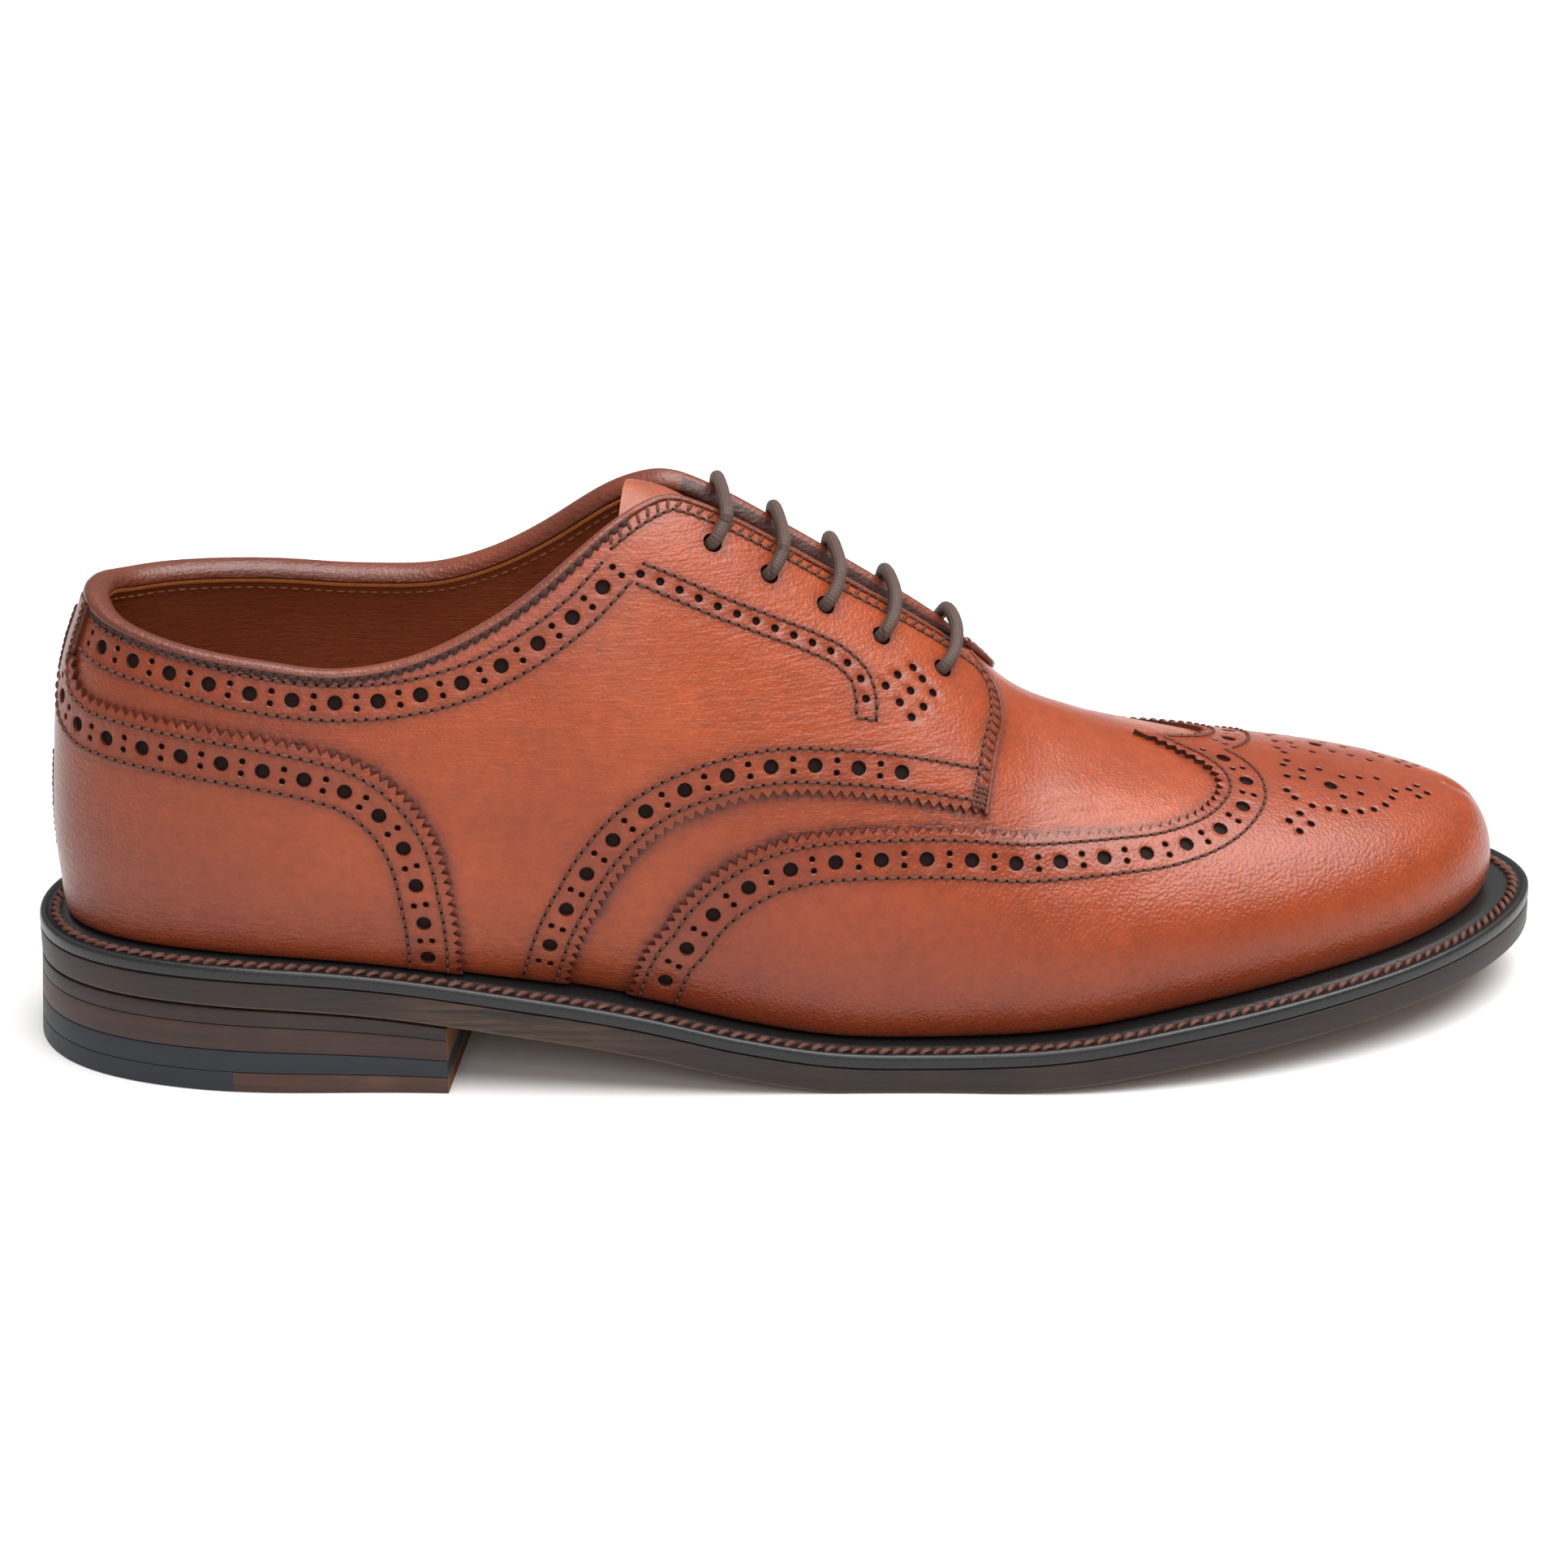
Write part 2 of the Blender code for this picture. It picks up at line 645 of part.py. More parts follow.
def eyelet_places():
    """Chart places of the eyelets of one side, from the top down."""
    places = []
    for i in range(EYELET_COUNT):
        around = around_after(FACING_TOP, FIRST_EYELET + i * EYELET_PITCH)
        up = opening_up(around)
        places.append((around, up - EYELET_SETBACK / chart_matrix(around, up)[1, 1]))
    return places


def eyelet_rings(side):
    return [ring_in_chart(side * a, u, EYELET_RADIUS) for a, u in eyelet_places()]


def topline(side):
    """Chart points of the topline from the back of the heel to the corner of the facing."""
    return [(side * a, opening_up(side * max(a, 1e-4))) for a in np.linspace(0, FACING_TOP, TOPLINE_STATIONS)]


def facing_line(side, start):
    """Chart points of the facing's edge, down to where the throat starts to round."""
    count = int((THROAT_ROUND - start) * SOLE_LENGTH * 1.25 / SHEET_PITCH)
    return [(side * a, opening_up(side * a)) for a in np.linspace(start, THROAT_ROUND, count)]


def make_upper(collection, look):
    """The vamp and the quarters' inner layer as one shell, open at the collar, throat and bottom."""
    steps = int(SOLE_LENGTH * 1.07 / SHEET_PITCH)
    bottom = [(a, 0.0) for a in np.linspace(-1, 1, 2 * steps + 1)]
    toe_ups = np.linspace(0, 1, 6)[1:]
    ridge = np.linspace(1, THROAT_END, 12)[1:]
    throat = np.linspace(THROAT_END, THROAT_ROUND, 4)[1:-1]
    medial = [(a, opening_up(a)) for a in throat] + facing_line(1, FACING_TOP)[:0:-1] + topline(1)[::-1]
    lateral = topline(-1)[1:] + facing_line(-1, FACING_TOP)[1:] + [(-a, opening_up(-a)) for a in throat[::-1]]
    outline = (bottom + [(1.0, u) for u in toe_ups] + [(a, 1.0) for a in ridge] + medial
               + lateral + [(-a, 1.0) for a in ridge[::-1]] + [(-1.0, u) for u in toe_ups[::-1]])
    return leather_sheet("upper", outline, eyelet_rings(-1) + eyelet_rings(1),
                         PANEL_LEATHER + LAYER_GAP, UPPER_WALL, collection, look)


def make_quarter(side, name, collection, look):
    back = SEAM_GAP / 2 / chart_matrix(side * 0.01, 0.5)[0, 0]
    feather_count = int(QUARTER_LOWER[-1][0] * SOLE_LENGTH * 1.07 / SHEET_PITCH)
    under_binding = lowered(topline(side), BINDING_DEPTH + SEAM_GAP)[:-1]
    under_binding[0] = (side * back, under_binding[0][1])
    facing = lowered(facing_line(side, FACING_TOP + 0.004), CLEARANCE)
    front = chart_line(QUARTER_FRONT, side)
    lower = chart_line(QUARTER_LOWER, side)[1:]
    feather = [(side * a, FEATHER_MARGIN) for a in np.linspace(QUARTER_LOWER[-1][0], back, feather_count)[1:]]
    seam = [(side * back, u) for u in np.linspace(FEATHER_MARGIN, under_binding[0][1], 9)[1:-1]]
    outline = under_binding + facing + front + lower + feather + seam
    return leather_sheet(name, outline, eyelet_rings(side), 0.0, PANEL_LEATHER, collection, look)


def make_counter(collection, look):
    """The heel counter runs round both sides; its tongue at the back climbs to the binding."""
    lowest = lowered(topline(1)[:4], BINDING_DEPTH + SEAM_GAP + CLEARANCE)
    tail_top = [(a, u) for a, u in lowest if a < DOG_TAIL_HALF] + [(DOG_TAIL_HALF, lowest[-1][1])]
    tail_top[0] = (0.0, tail_top[0][1])
    tail_side = [(DOG_TAIL_HALF, u) for u in np.linspace(COUNTER_EDGE[-1][1] + 0.03, tail_top[-1][1], 3)[:-1]]
    half = chart_line(COUNTER_EDGE, 1) + tail_side + tail_top[::-1]
    count = 2 * int(COUNTER_EDGE[0][0] * SOLE_LENGTH * 1.07 / SHEET_PITCH)
    reach = COUNTER_EDGE[0][0]
    bottom = [(a, FEATHER_MARGIN) for a in np.linspace(-reach, reach, count)[1:-1]]
    outline = half + [(-a, u) for a, u in half[::-1]][1:] + bottom
    return leather_sheet("heel_counter", outline, [], -PANEL_LEATHER - LAYER_GAP, PANEL_LEATHER,
                         collection, look)


def make_wing_cap(collection, look):
    """The wing cap wraps the toe: around 1 is the toe, and the inner side runs back from it."""
    edge = chart_line(WING_EDGE, 1)
    reach = WING_EDGE[0][0]
    count = 2 * int((1 - reach) * SOLE_LENGTH * 1.07 / SHEET_PITCH)
    ridge = [(a, 1.0) for a in np.linspace(edge[-1][0], 1, 10)[1:]]
    toe = [(1.0, u) for u in np.linspace(1, FEATHER_MARGIN, 6)[1:]]
    bottom = [(a, FEATHER_MARGIN) for a in np.linspace(1, reach, count // 2)[1:-1]]
    medial = edge + ridge + toe + bottom
    halves = []
    for side in (-1, 1):
        outline = [(side * a, u) for a, u in medial]
        halves.append(leather_sheet("wing_half", outline, [], 0.0, PANEL_LEATHER, collection, look))
    form = bmesh.new()
    for half in halves:
        form.from_mesh(half.data)
        bpy.data.objects.remove(half, do_unlink=True)
    bmesh.ops.remove_doubles(form, verts=form.verts, dist=5e-4)
    bmesh.ops.recalc_face_normals(form, faces=form.faces)
    mesh_data = bpy.data.meshes.new("wing_cap")
    form.to_mesh(mesh_data)
    form.free()
    return thicken(add_object("wing_cap", mesh_data, collection, look), PANEL_LEATHER)


def make_binding(collection, look):
    """A strip of leather folded over the topline: a channel swept from facing to facing."""
    outer = PANEL_LEATHER
    inner = LINING_FACE + SEAM_GAP
    lining_side = inner + BINDING_PROUD * 2
    section = ((outer, -BINDING_DEPTH), (0.0, -BINDING_DEPTH), (-BINDING_PROUD, -BINDING_DEPTH * 0.65),
               (-BINDING_PROUD, 0.0), (0.0, BINDING_ROLL * 0.6), (outer, BINDING_ROLL), (inner, BINDING_ROLL),
               (lining_side, BINDING_ROLL * 0.5), (lining_side, -BINDING_DEPTH), (inner, -BINDING_DEPTH),
               (inner, CLEARANCE), (outer, CLEARANCE))
    arounds, ups = np.array(topline(-1)[-2:0:-1] + topline(1)[:-1]).T
    line = last_points(arounds, ups)
    outward = last_normals(arounds, ups)
    run = np.gradient(line, axis=0)
    upward = np.cross(outward, run)
    upward /= np.linalg.norm(upward, axis=1, keepdims=True)
    upward *= np.sign(upward[:, 2:3])
    rings = [[tuple(point - out * depth + rise_up * height) for depth, height in section]
             for point, out, rise_up in zip(line, outward, upward)]
    return loft("collar_binding", rings, collection, look)


def tongue_inset(around):
    """The tongue lies under the lace runs and comes closer to the lining at its top."""
    under_lace = LINING_FACE + SEAM_GAP * 2.5 + LACE_DIAMETER
    under_binding = LINING_FACE + SEAM_GAP * 3 + PANEL_LEATHER
    return float(smooth((0.41, 0.44, 0.460, 0.60), (under_binding, under_binding, under_lace, under_lace), around))


def make_tongue(collection, look):
    arounds = np.linspace(0.428, 0.606, 12)
    across = np.linspace(-1, 1, 11)
    form = bmesh.new()
    rows = []
    for around in arounds:
        reach = 0.27 - 0.05 * (around - arounds[0]) / (arounds[-1] - arounds[0])
        rows.append([form.verts.new(last_points(math.copysign(around, t), 1 - reach * abs(t), tongue_inset(around)))
                     for t in across])
    for row, after in zip(rows, rows[1:]):
        for i in range(len(row) - 1):
            form.faces.new((row[i], row[i + 1], after[i + 1], after[i]))
    bmesh.ops.recalc_face_normals(form, faces=form.faces)
    if sum(f.normal.z for f in form.faces) < 0:
        bmesh.ops.reverse_faces(form, faces=form.faces)
    mesh_data = bpy.data.meshes.new("tongue")
    form.to_mesh(mesh_data)
    form.free()
    return thicken(add_object("tongue", mesh_data, collection, look), TONGUE_LEATHER)


def lace_route():
    """Straight bars over the facings, joined by runs under them from one eyelet to the next."""
    radius = LACE_DIAMETER / 2
    under = LINING_FACE + CLEARANCE + radius
    over = -(radius + CLEARANCE * 3)
    route = []
    side = -1
    for around, up in eyelet_places():
        edge = opening_up(around)

        def hole(sign, depth, shift=0.0):
            return layer_points(sign * around, up + shift / chart_matrix(around, up)[1, 1], depth)

        crossing = []
        for sign in (side, -side):
            climb = [hole(sign, under), hole(sign, under * 0.5), hole(sign, -0.0006),
                     hole(sign, over * 0.9, 0.0012), hole(sign, over, 0.0034),
                     layer_points(sign * around, edge, over - 0.0002)]
            crossing.append(climb if sign == side else climb[::-1])
        start, end = crossing[0][-1], crossing[1][0]
        middle = (start + end) / 2 + np.array([0, 0, LACE_ARCH])
        route += crossing[0] + [middle] + crossing[1]
        side = -side
    return route


def make_lace(collection, look):
    curve = bpy.data.curves.new("lace", "CURVE")
    curve.dimensions = "3D"
    curve.bevel_depth = LACE_DIAMETER / 2
    curve.bevel_resolution = 2
    curve.use_fill_caps = True
    route = lace_route()
    spline = curve.splines.new("POLY")
    spline.points.add(len(route) - 1)
    for point, place in zip(spline.points, route):
        point.co = (*place, 1)
    return add_object("lace", curve, collection, look)


def stand_on_centre(collection):
    """Hang every piece on an empty, so that the box of the sole and its flared heel is centred."""
    x, y_lateral, y_medial = sole_edge(sole_angles())
    back = x.min() - HEEL_FLARE * (1 - x.min() / (SOLE_LENGTH * BACK_FLARE_REACH))
    empty = bpy.data.objects.new("shoe_frame", None)
    empty.location = (-(back + x.max()) / 2, -(y_lateral.min() + y_medial.max()) / 2, 0)
    for thing in collection.objects:
        thing.parent = empty
    collection.objects.link(empty)


def main():
    start_clean()
    collection = bpy.data.collections.new("brogue_derby_shoe")
    bpy.context.scene.collection.children.link(collection)
    tan = material("tan_calf", TAN, 0.35)
    dark = material("dark_calf", DARK_TAN, 0.4)
    edge = material("sole_edge", EDGE_BROWN, 0.4)
    black = material("rubber", RUBBER_BLACK, 0.5)
    make_outsole(collection, edge)
    make_welt(collection, material("welt_black", RUBBER_BLACK, 0.35))
    make_heel(collection, {"heel_lift_upper": edge, "heel_lift_lower": material("heel_leather", EDGE_BROWN, 0.45),
                           "heel_rubber_layer": black})
    make_insole(collection, dark)
    make_upper(collection, tan)
    make_quarter(-1, "quarter_lateral", collection, tan)
    make_quarter(1, "quarter_medial", collection, tan)
    make_counter(collection, tan)
    make_wing_cap(collection, tan)
    make_binding(collection, dark)
    make_tongue(collection, tan)
    make_lace(collection, material("waxed_cotton", LACE_BROWN, 0.7))
    stand_on_centre(collection)


main()
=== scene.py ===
# %% [markdown]
# # A brogue derby shoe around its fixed frame
# The frame holds the measured solids of a man's right shoe. Here each of them gets the surface of the real
# thing: punched and pinked calf panels, thread, a stitched welt, stacked leather and a waxed lace.
# All sizes are in metres: +X runs to the toe, +Z up, and -Y is the outer side that faces the camera.

# %% Load the frame
import math

import bmesh
import bpy
import numpy as np
from mathutils import Matrix, Vector
from mathutils.geometry import delaunay_2d_cdt
from mathutils.kdtree import KDTree


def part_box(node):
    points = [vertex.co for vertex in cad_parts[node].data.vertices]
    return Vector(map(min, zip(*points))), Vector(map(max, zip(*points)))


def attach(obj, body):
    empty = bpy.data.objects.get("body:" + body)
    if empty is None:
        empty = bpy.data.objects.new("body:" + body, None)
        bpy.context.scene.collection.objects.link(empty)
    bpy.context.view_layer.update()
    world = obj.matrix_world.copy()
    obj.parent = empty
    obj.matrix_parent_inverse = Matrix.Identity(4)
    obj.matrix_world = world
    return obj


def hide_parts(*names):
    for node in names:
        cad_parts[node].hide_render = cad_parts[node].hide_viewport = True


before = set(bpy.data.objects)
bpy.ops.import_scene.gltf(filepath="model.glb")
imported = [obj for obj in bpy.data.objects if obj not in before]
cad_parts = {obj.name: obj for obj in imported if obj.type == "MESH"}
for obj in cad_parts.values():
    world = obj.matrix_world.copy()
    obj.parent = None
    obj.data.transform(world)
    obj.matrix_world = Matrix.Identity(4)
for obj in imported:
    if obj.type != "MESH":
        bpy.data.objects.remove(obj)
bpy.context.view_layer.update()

# %% [markdown]
# ## The last
# Shoemakers call the shape that a shoe is drawn over its last. Every seam lies on it, so that surface is
# written first, as one function of two parameters: around runs from the back of the heel (0) to the toe (1 on
# the inner side and -1 on the outer side), and up from the feather line at the welt (0) to the ridge (1).
# Its sections come from short tables of shares, joined by smooth curves.

# %% Driving sizes of the last and the sole
SOLE_LENGTH = 0.308
BALL_WIDTH = 0.1025
INSTEP_HEIGHT = 0.102
HEEL_HEIGHT = 0.0185
TOE_SPRING = 0.0116
TOE_SWING = 0.016
WELT_THICKNESS = 0.0026
OUTSOLE_THICKNESS = 0.0052
TREAD_FLAT = 0.0005
CLEARANCE = 0.0003
HEEL_SETBACK = 0.006
TOE_SETBACK = 0.0086
PANEL_LEATHER = 0.0011
LINING_FACE = 0.0038
THROAT_GAP_TOP = 0.021
THROAT_GAP_BOTTOM = 0.0085
FACING_TOP = 0.45
THROAT_ROUND = 0.572
THROAT_END = 0.583
TOE_ROUND = 0.011
TOE_TUCK = 0.0015
TOE_FADE = 0.15
BACK_FADE = 0.20

SOLE_COLUMNS = ("share", "lateral", "medial")
SOLE = (
    (0.00, 0.700, 0.683), (0.12, 0.332, 0.322), (0.25, 0.361, 0.341), (0.42, 0.415, 0.283),
    (0.58, 0.459, 0.400), (0.70, 0.502, 0.498), (0.82, 0.459, 0.468), (0.93, 0.317, 0.317),
    (1.00, 0.527, 0.566),
)
RISE_COLUMNS = ("share", "heel", "spring", "swing")
RISE = (
    (0.00, 1.00, 0.00, 0.00), (0.20, 0.94, 0.00, 0.00), (0.30, 0.735, 0.00, 0.00),
    (0.40, 0.46, 0.00, 0.08), (0.46, 0.21, 0.00, 0.16), (0.52, 0.03, 0.00, 0.25),
    (0.58, 0.00, 0.00, 0.33), (0.64, 0.00, 0.06, 0.42), (0.76, 0.00, 0.44, 0.62),
    (0.88, 0.00, 0.75, 0.84), (1.00, 0.00, 1.00, 1.00),
)
LAST_COLUMNS = ("share", "lateral", "medial", "belly", "ridge", "lateral_power", "medial_power",
                "lateral_tuck", "medial_tuck")
LAST = (
    (0.00, 0.640, 0.625, 0.20, 0.84, 1.00, 1.00, 0.90, 0.90),
    (0.12, 0.298, 0.293, 0.20, 0.86, 1.00, 1.00, 0.90, 0.90),
    (0.25, 0.327, 0.302, 0.19, 0.91, 1.05, 1.05, 0.90, 0.90),
    (0.36, 0.346, 0.273, 0.18, 1.00, 1.10, 1.02, 0.90, 0.86),
    (0.42, 0.366, 0.273, 0.17, 1.02, 1.12, 1.02, 0.91, 0.85),
    (0.50, 0.390, 0.302, 0.16, 0.93, 1.18, 1.15, 0.92, 0.88),
    (0.56, 0.405, 0.341, 0.14, 0.82, 1.20, 1.20, 0.93, 0.91),
    (0.62, 0.424, 0.385, 0.13, 0.685, 1.20, 1.20, 0.93, 0.93),
    (0.66, 0.439, 0.415, 0.12, 0.57, 1.20, 1.20, 0.93, 0.94),
    (0.70, 0.449, 0.434, 0.11, 0.50, 1.15, 1.15, 0.93, 0.94),
    (0.78, 0.429, 0.429, 0.10, 0.39, 1.05, 1.05, 0.93, 0.94),
    (0.86, 0.371, 0.376, 0.09, 0.32, 0.95, 0.95, 0.93, 0.94),
    (0.93, 0.283, 0.288, 0.08, 0.27, 0.90, 0.90, 0.93, 0.93),
    (1.00, 0.507, 0.527, 0.06, 0.21, 0.85, 0.85, 0.93, 0.93),
)
BACK_COLUMNS = ("height", "lean")
BACK = ((0.22, 0.008), (0.33, 0.001), (0.45, -0.004), (0.59, 0.005), (0.73, 0.021), (0.82, 0.045),
        (0.90, 0.075), (1.13, 0.157))


# %% [markdown]
# Each table has few rows, so curves run through them. An outline has to close roundly at the heel and the
# toe, which a curve over x can't do, so its widths are read over an angle and multiplied by its sine.

# %% Curves through the tables
def column(table, names, name):
    return np.array([row[names.index(name)] for row in table], float)


def smooth(stations, values, where):
    """A piecewise cubic whose slope at each station is the gap-weighted mean of its two chords."""
    stations, values = np.asarray(stations, float), np.asarray(values, float)
    where = np.clip(np.asarray(where, float), stations[0], stations[-1])
    gaps = np.diff(stations)
    slopes = np.diff(values) / gaps
    tangents = np.empty_like(values)
    tangents[1:-1] = (slopes[:-1] * gaps[1:] + slopes[1:] * gaps[:-1]) / (gaps[:-1] + gaps[1:])
    tangents[0] = 1.5 * slopes[0] - 0.5 * tangents[1]
    tangents[-1] = 1.5 * slopes[-1] - 0.5 * tangents[-2]
    left = np.clip(np.searchsorted(stations, where, side="right") - 1, 0, len(gaps) - 1)
    width = gaps[left]
    share = (where - stations[left]) / width
    return ((2 * share**3 - 3 * share**2 + 1) * values[left]
            + (share**3 - 2 * share**2 + share) * width * tangents[left]
            + (3 * share**2 - 2 * share**3) * values[left + 1]
            + (share**3 - share**2) * width * tangents[left + 1])


def angle_of(share):
    return np.arccos(1 - 2 * np.clip(share, 0, 1))


def half_width(table, names, name, angle):
    """Half width along a rounded outline: the table's share over the sine of its angle, times the sine."""
    angles = angle_of(column(table, names, "share"))
    widths = column(table, names, name) * BALL_WIDTH
    widths[1:-1] /= np.sin(angles[1:-1])
    return np.sin(angle) * smooth(angles, widths, angle)


def rise(name, x):
    return smooth(column(RISE, RISE_COLUMNS, "share"), column(RISE, RISE_COLUMNS, name), x / SOLE_LENGTH)


def middle_y(x):
    """The middle line swings to the inner side by the toe swing times its share."""
    return TOE_SWING * rise("swing", x)


def outsole_bottom(x):
    """Heel rise and toe spring added, cut flat where the ball stands on the floor."""
    return np.maximum(HEEL_HEIGHT * rise("heel", x) + TOE_SPRING * rise("spring", x) - TREAD_FLAT, 0)


def outsole_top(x):
    return HEEL_HEIGHT * rise("heel", x) + TOE_SPRING * rise("spring", x) + OUTSOLE_THICKNESS


def welt_bottom(x):
    return outsole_top(x) + CLEARANCE


def welt_top(x):
    return welt_bottom(x) + WELT_THICKNESS


def sole_edge(angle):
    """x is half the length times one minus the cosine; each side adds its half width to the middle line."""
    x = SOLE_LENGTH * (1 - np.cos(angle)) / 2
    return (x, middle_y(x) - half_width(SOLE, SOLE_COLUMNS, "lateral", angle),
            middle_y(x) + half_width(SOLE, SOLE_COLUMNS, "medial", angle))


# %% [markdown]
# The tables start at the back of the heel, and the frame has its own zero point in the middle of the shoe.
# The outsole's box in the frame gives the shift from one to the other.

# %% Where the last stands in the frame
_, lateral_edge, medial_edge = sole_edge(np.linspace(0.01, math.pi - 0.01, 800))
sole_low, sole_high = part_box("outsole")
ORIGIN = np.array([(sole_low.x + sole_high.x - SOLE_LENGTH) / 2,
                   (sole_low.y + sole_high.y - lateral_edge.min() - medial_edge.max()) / 2, 0])
print("the last's own zero point lies at", ORIGIN.round(5))


# %% The last as a surface
def last_points(around, up, inset=0.0):
    """x from the cosine of the angle around; y and z from a section whose side is a power of the cosine and
    whose height is a sine; then the heel's back curve and the rounding of the toe, which runs level over
    the ridge, are added to x."""
    around, up = np.broadcast_arrays(np.asarray(around, float), np.asarray(up, float))
    around = (around + 1) % 2 - 1
    side = np.where(around < 0, -1.0, 1.0)
    angle = math.pi * np.abs(around)
    share = (1 - np.cos(angle)) / 2
    x = HEEL_SETBACK + (SOLE_LENGTH - TOE_SETBACK - HEEL_SETBACK) * share
    angles = angle_of(column(LAST, LAST_COLUMNS, "share"))

    def along(name):
        return smooth(angles, column(LAST, LAST_COLUMNS, name), angle)

    def by_side(name):
        return np.where(side < 0, along("lateral_" + name), along("medial_" + name))

    width = np.where(side < 0, half_width(LAST, LAST_COLUMNS, "lateral", angle),
                     half_width(LAST, LAST_COLUMNS, "medial", angle)) - inset * np.sin(angle)
    belly = along("belly") * INSTEP_HEIGHT
    height = along("ridge") * INSTEP_HEIGHT - inset
    power = by_side("power")
    lowest = -np.arccos(np.clip(by_side("tuck"), 0, 1) ** (1 / power))
    turn = lowest + (math.pi / 2 - lowest) * np.clip(up, 0, 1)
    y = middle_y(x) + side * width * np.clip(np.cos(turn), 0, 1) ** power
    z = welt_top(x) + CLEARANCE + belly + np.where(turn < 0, belly * np.sin(turn) / np.sin(-lowest),
                                                   (height - belly) * np.sin(turn))
    back = smooth(column(BACK, BACK_COLUMNS, "height"), column(BACK, BACK_COLUMNS, "lean"),
                  z / INSTEP_HEIGHT) * INSTEP_HEIGHT
    x = x + back * np.clip(1 - share / BACK_FADE, 0, 1) ** 1.5
    near_toe = np.clip(1 - (1 - share) / TOE_FADE, 0, 1)
    near_toe = near_toe**2 * (3 - 2 * near_toe)
    part = np.clip(turn / (math.pi / 2), 0, 1)
    level = math.pi / 2 * (1 - part) * part**8
    pull = np.where(turn < 0, TOE_TUCK * (1 - np.cos(turn)) / (1 - np.cos(lowest)),
                    TOE_ROUND * (1 - np.cos(turn) + level))
    return np.stack([x - pull * near_toe, y, z], -1)


def last_normals(around, up):
    """The cross product of two small steps over the surface; on the ridge it has no sideways part."""
    around, up = np.broadcast_arrays(np.asarray(around, float), np.asarray(up, float))
    step_around, step_up = 0.004, 0.012
    on_ridge = up > 0.9999
    up = np.clip(up, step_up, 1 - 2 * step_up)
    along = last_points(around + step_around, up) - last_points(around - step_around, up)
    rising = last_points(around, up + step_up) - last_points(around, up - step_up)
    normal = np.cross(rising, along)
    normal[..., 1] = np.where(on_ridge, 0, normal[..., 1])
    return normal / np.linalg.norm(normal, axis=-1, keepdims=True)


def layer_points(around, up, depth):
    """The last's point minus its normal times the depth; 0 is the face of the quarters."""
    return last_points(around, up) - last_normals(around, up) * np.asarray(depth, float)[..., None]


def chart_matrix(around, up):
    """Two by two matrices that turn a small chart step into metres along and up the leather."""
    step_around, step_up = 0.002, 0.01
    up = np.clip(up, 0, 1)
    high, low = np.minimum(up + step_up, 1), np.maximum(up - step_up, 0)
    along = last_points(around + step_around, up) - last_points(around - step_around, up)
    along = along / (2 * step_around)
    rising = (last_points(around, high) - last_points(around, low)) / (high - low)[..., None]
    first = along / np.linalg.norm(along, axis=-1, keepdims=True)
    second = rising - first * (rising * first).sum(-1, keepdims=True)
    second /= np.linalg.norm(second, axis=-1, keepdims=True)
    matrix = np.zeros(along.shape[:-1] + (2, 2))
    matrix[..., 0, 0] = (along * first).sum(-1)
    matrix[..., 0, 1] = (rising * first).sum(-1)
    matrix[..., 1, 1] = (rising * second).sum(-1)
    return matrix


# %% [markdown]
# ## Lines on the leather
# A pattern cutter draws lines: edges, rows of stitches and rows of holes. Each is a list of chart places,
# smoothed, spaced evenly over the real surface, and moved sideways by real millimetres.

# %% Line helpers
MM = 0.001
TOOTH_PITCH = 2.2 * MM
TOOTH_DEPTH = 1.45 * MM


def chart_line(table, side, count=160):
    """A smooth curve through a table of chart places, mirrored to one side of the shoe."""
    rows = np.array(table, float)
    run = np.r_[0, np.cumsum(np.hypot(np.diff(rows[:, 0]) * 3.3, np.diff(rows[:, 1])))]
    steps = np.linspace(0, run[-1], count)
    return np.stack([side * smooth(run, rows[:, 0], steps), smooth(run, rows[:, 1], steps)], -1)


def spaced(line, pitch, start=0.0):
    """The same line cut into equal steps over the leather."""
    points = layer_points(line[:, 0], line[:, 1], np.zeros(len(line)))
    run = np.r_[0, np.cumsum(np.linalg.norm(np.diff(points, axis=0), axis=1))]
    steps = np.linspace(start, run[-1], max(2, round((run[-1] - start) / pitch) + 1))
    return np.stack([np.interp(steps, run, line[:, 0]), np.interp(steps, run, line[:, 1])], -1)


def walked(places, direction, distance, steps=6):
    """Short moves over the leather; at each one the matrix of the place turns metres into a chart step."""
    for _ in range(steps):
        moves = np.linalg.solve(chart_matrix(*places.T), direction[..., None])[..., 0]
        places = places + moves * np.asarray(distance)[..., None] / steps
    return places


def beside(line, distance):
    """The line moved to its left-hand side by a distance over the leather."""
    run = np.einsum("nij,nj->ni", chart_matrix(*line.T), np.gradient(line, axis=0))
    left = np.stack([-run[:, 1], run[:, 0]], -1) / np.linalg.norm(run, axis=1, keepdims=True)
    return walked(line, left, np.broadcast_to(distance, len(line)))


def pinked(line, inward):
    """A saw-tooth edge: every second place moves inwards by the depth of a tooth."""
    places = spaced(line, TOOTH_PITCH / 2)
    bitten = beside(places, inward * TOOTH_DEPTH)
    return np.where((np.arange(len(places)) % 2 == 1)[:, None], bitten, places)


def up_beside_ridge(around, distance):
    """The chart height whose point lies that far to the side of the ridge."""
    ups = np.linspace(0.4, 1, 240)
    line = last_points(np.full(240, around), ups)
    aside = np.abs(line[:, 1] - line[-1, 1])
    return float(np.interp(-distance, -aside, ups))


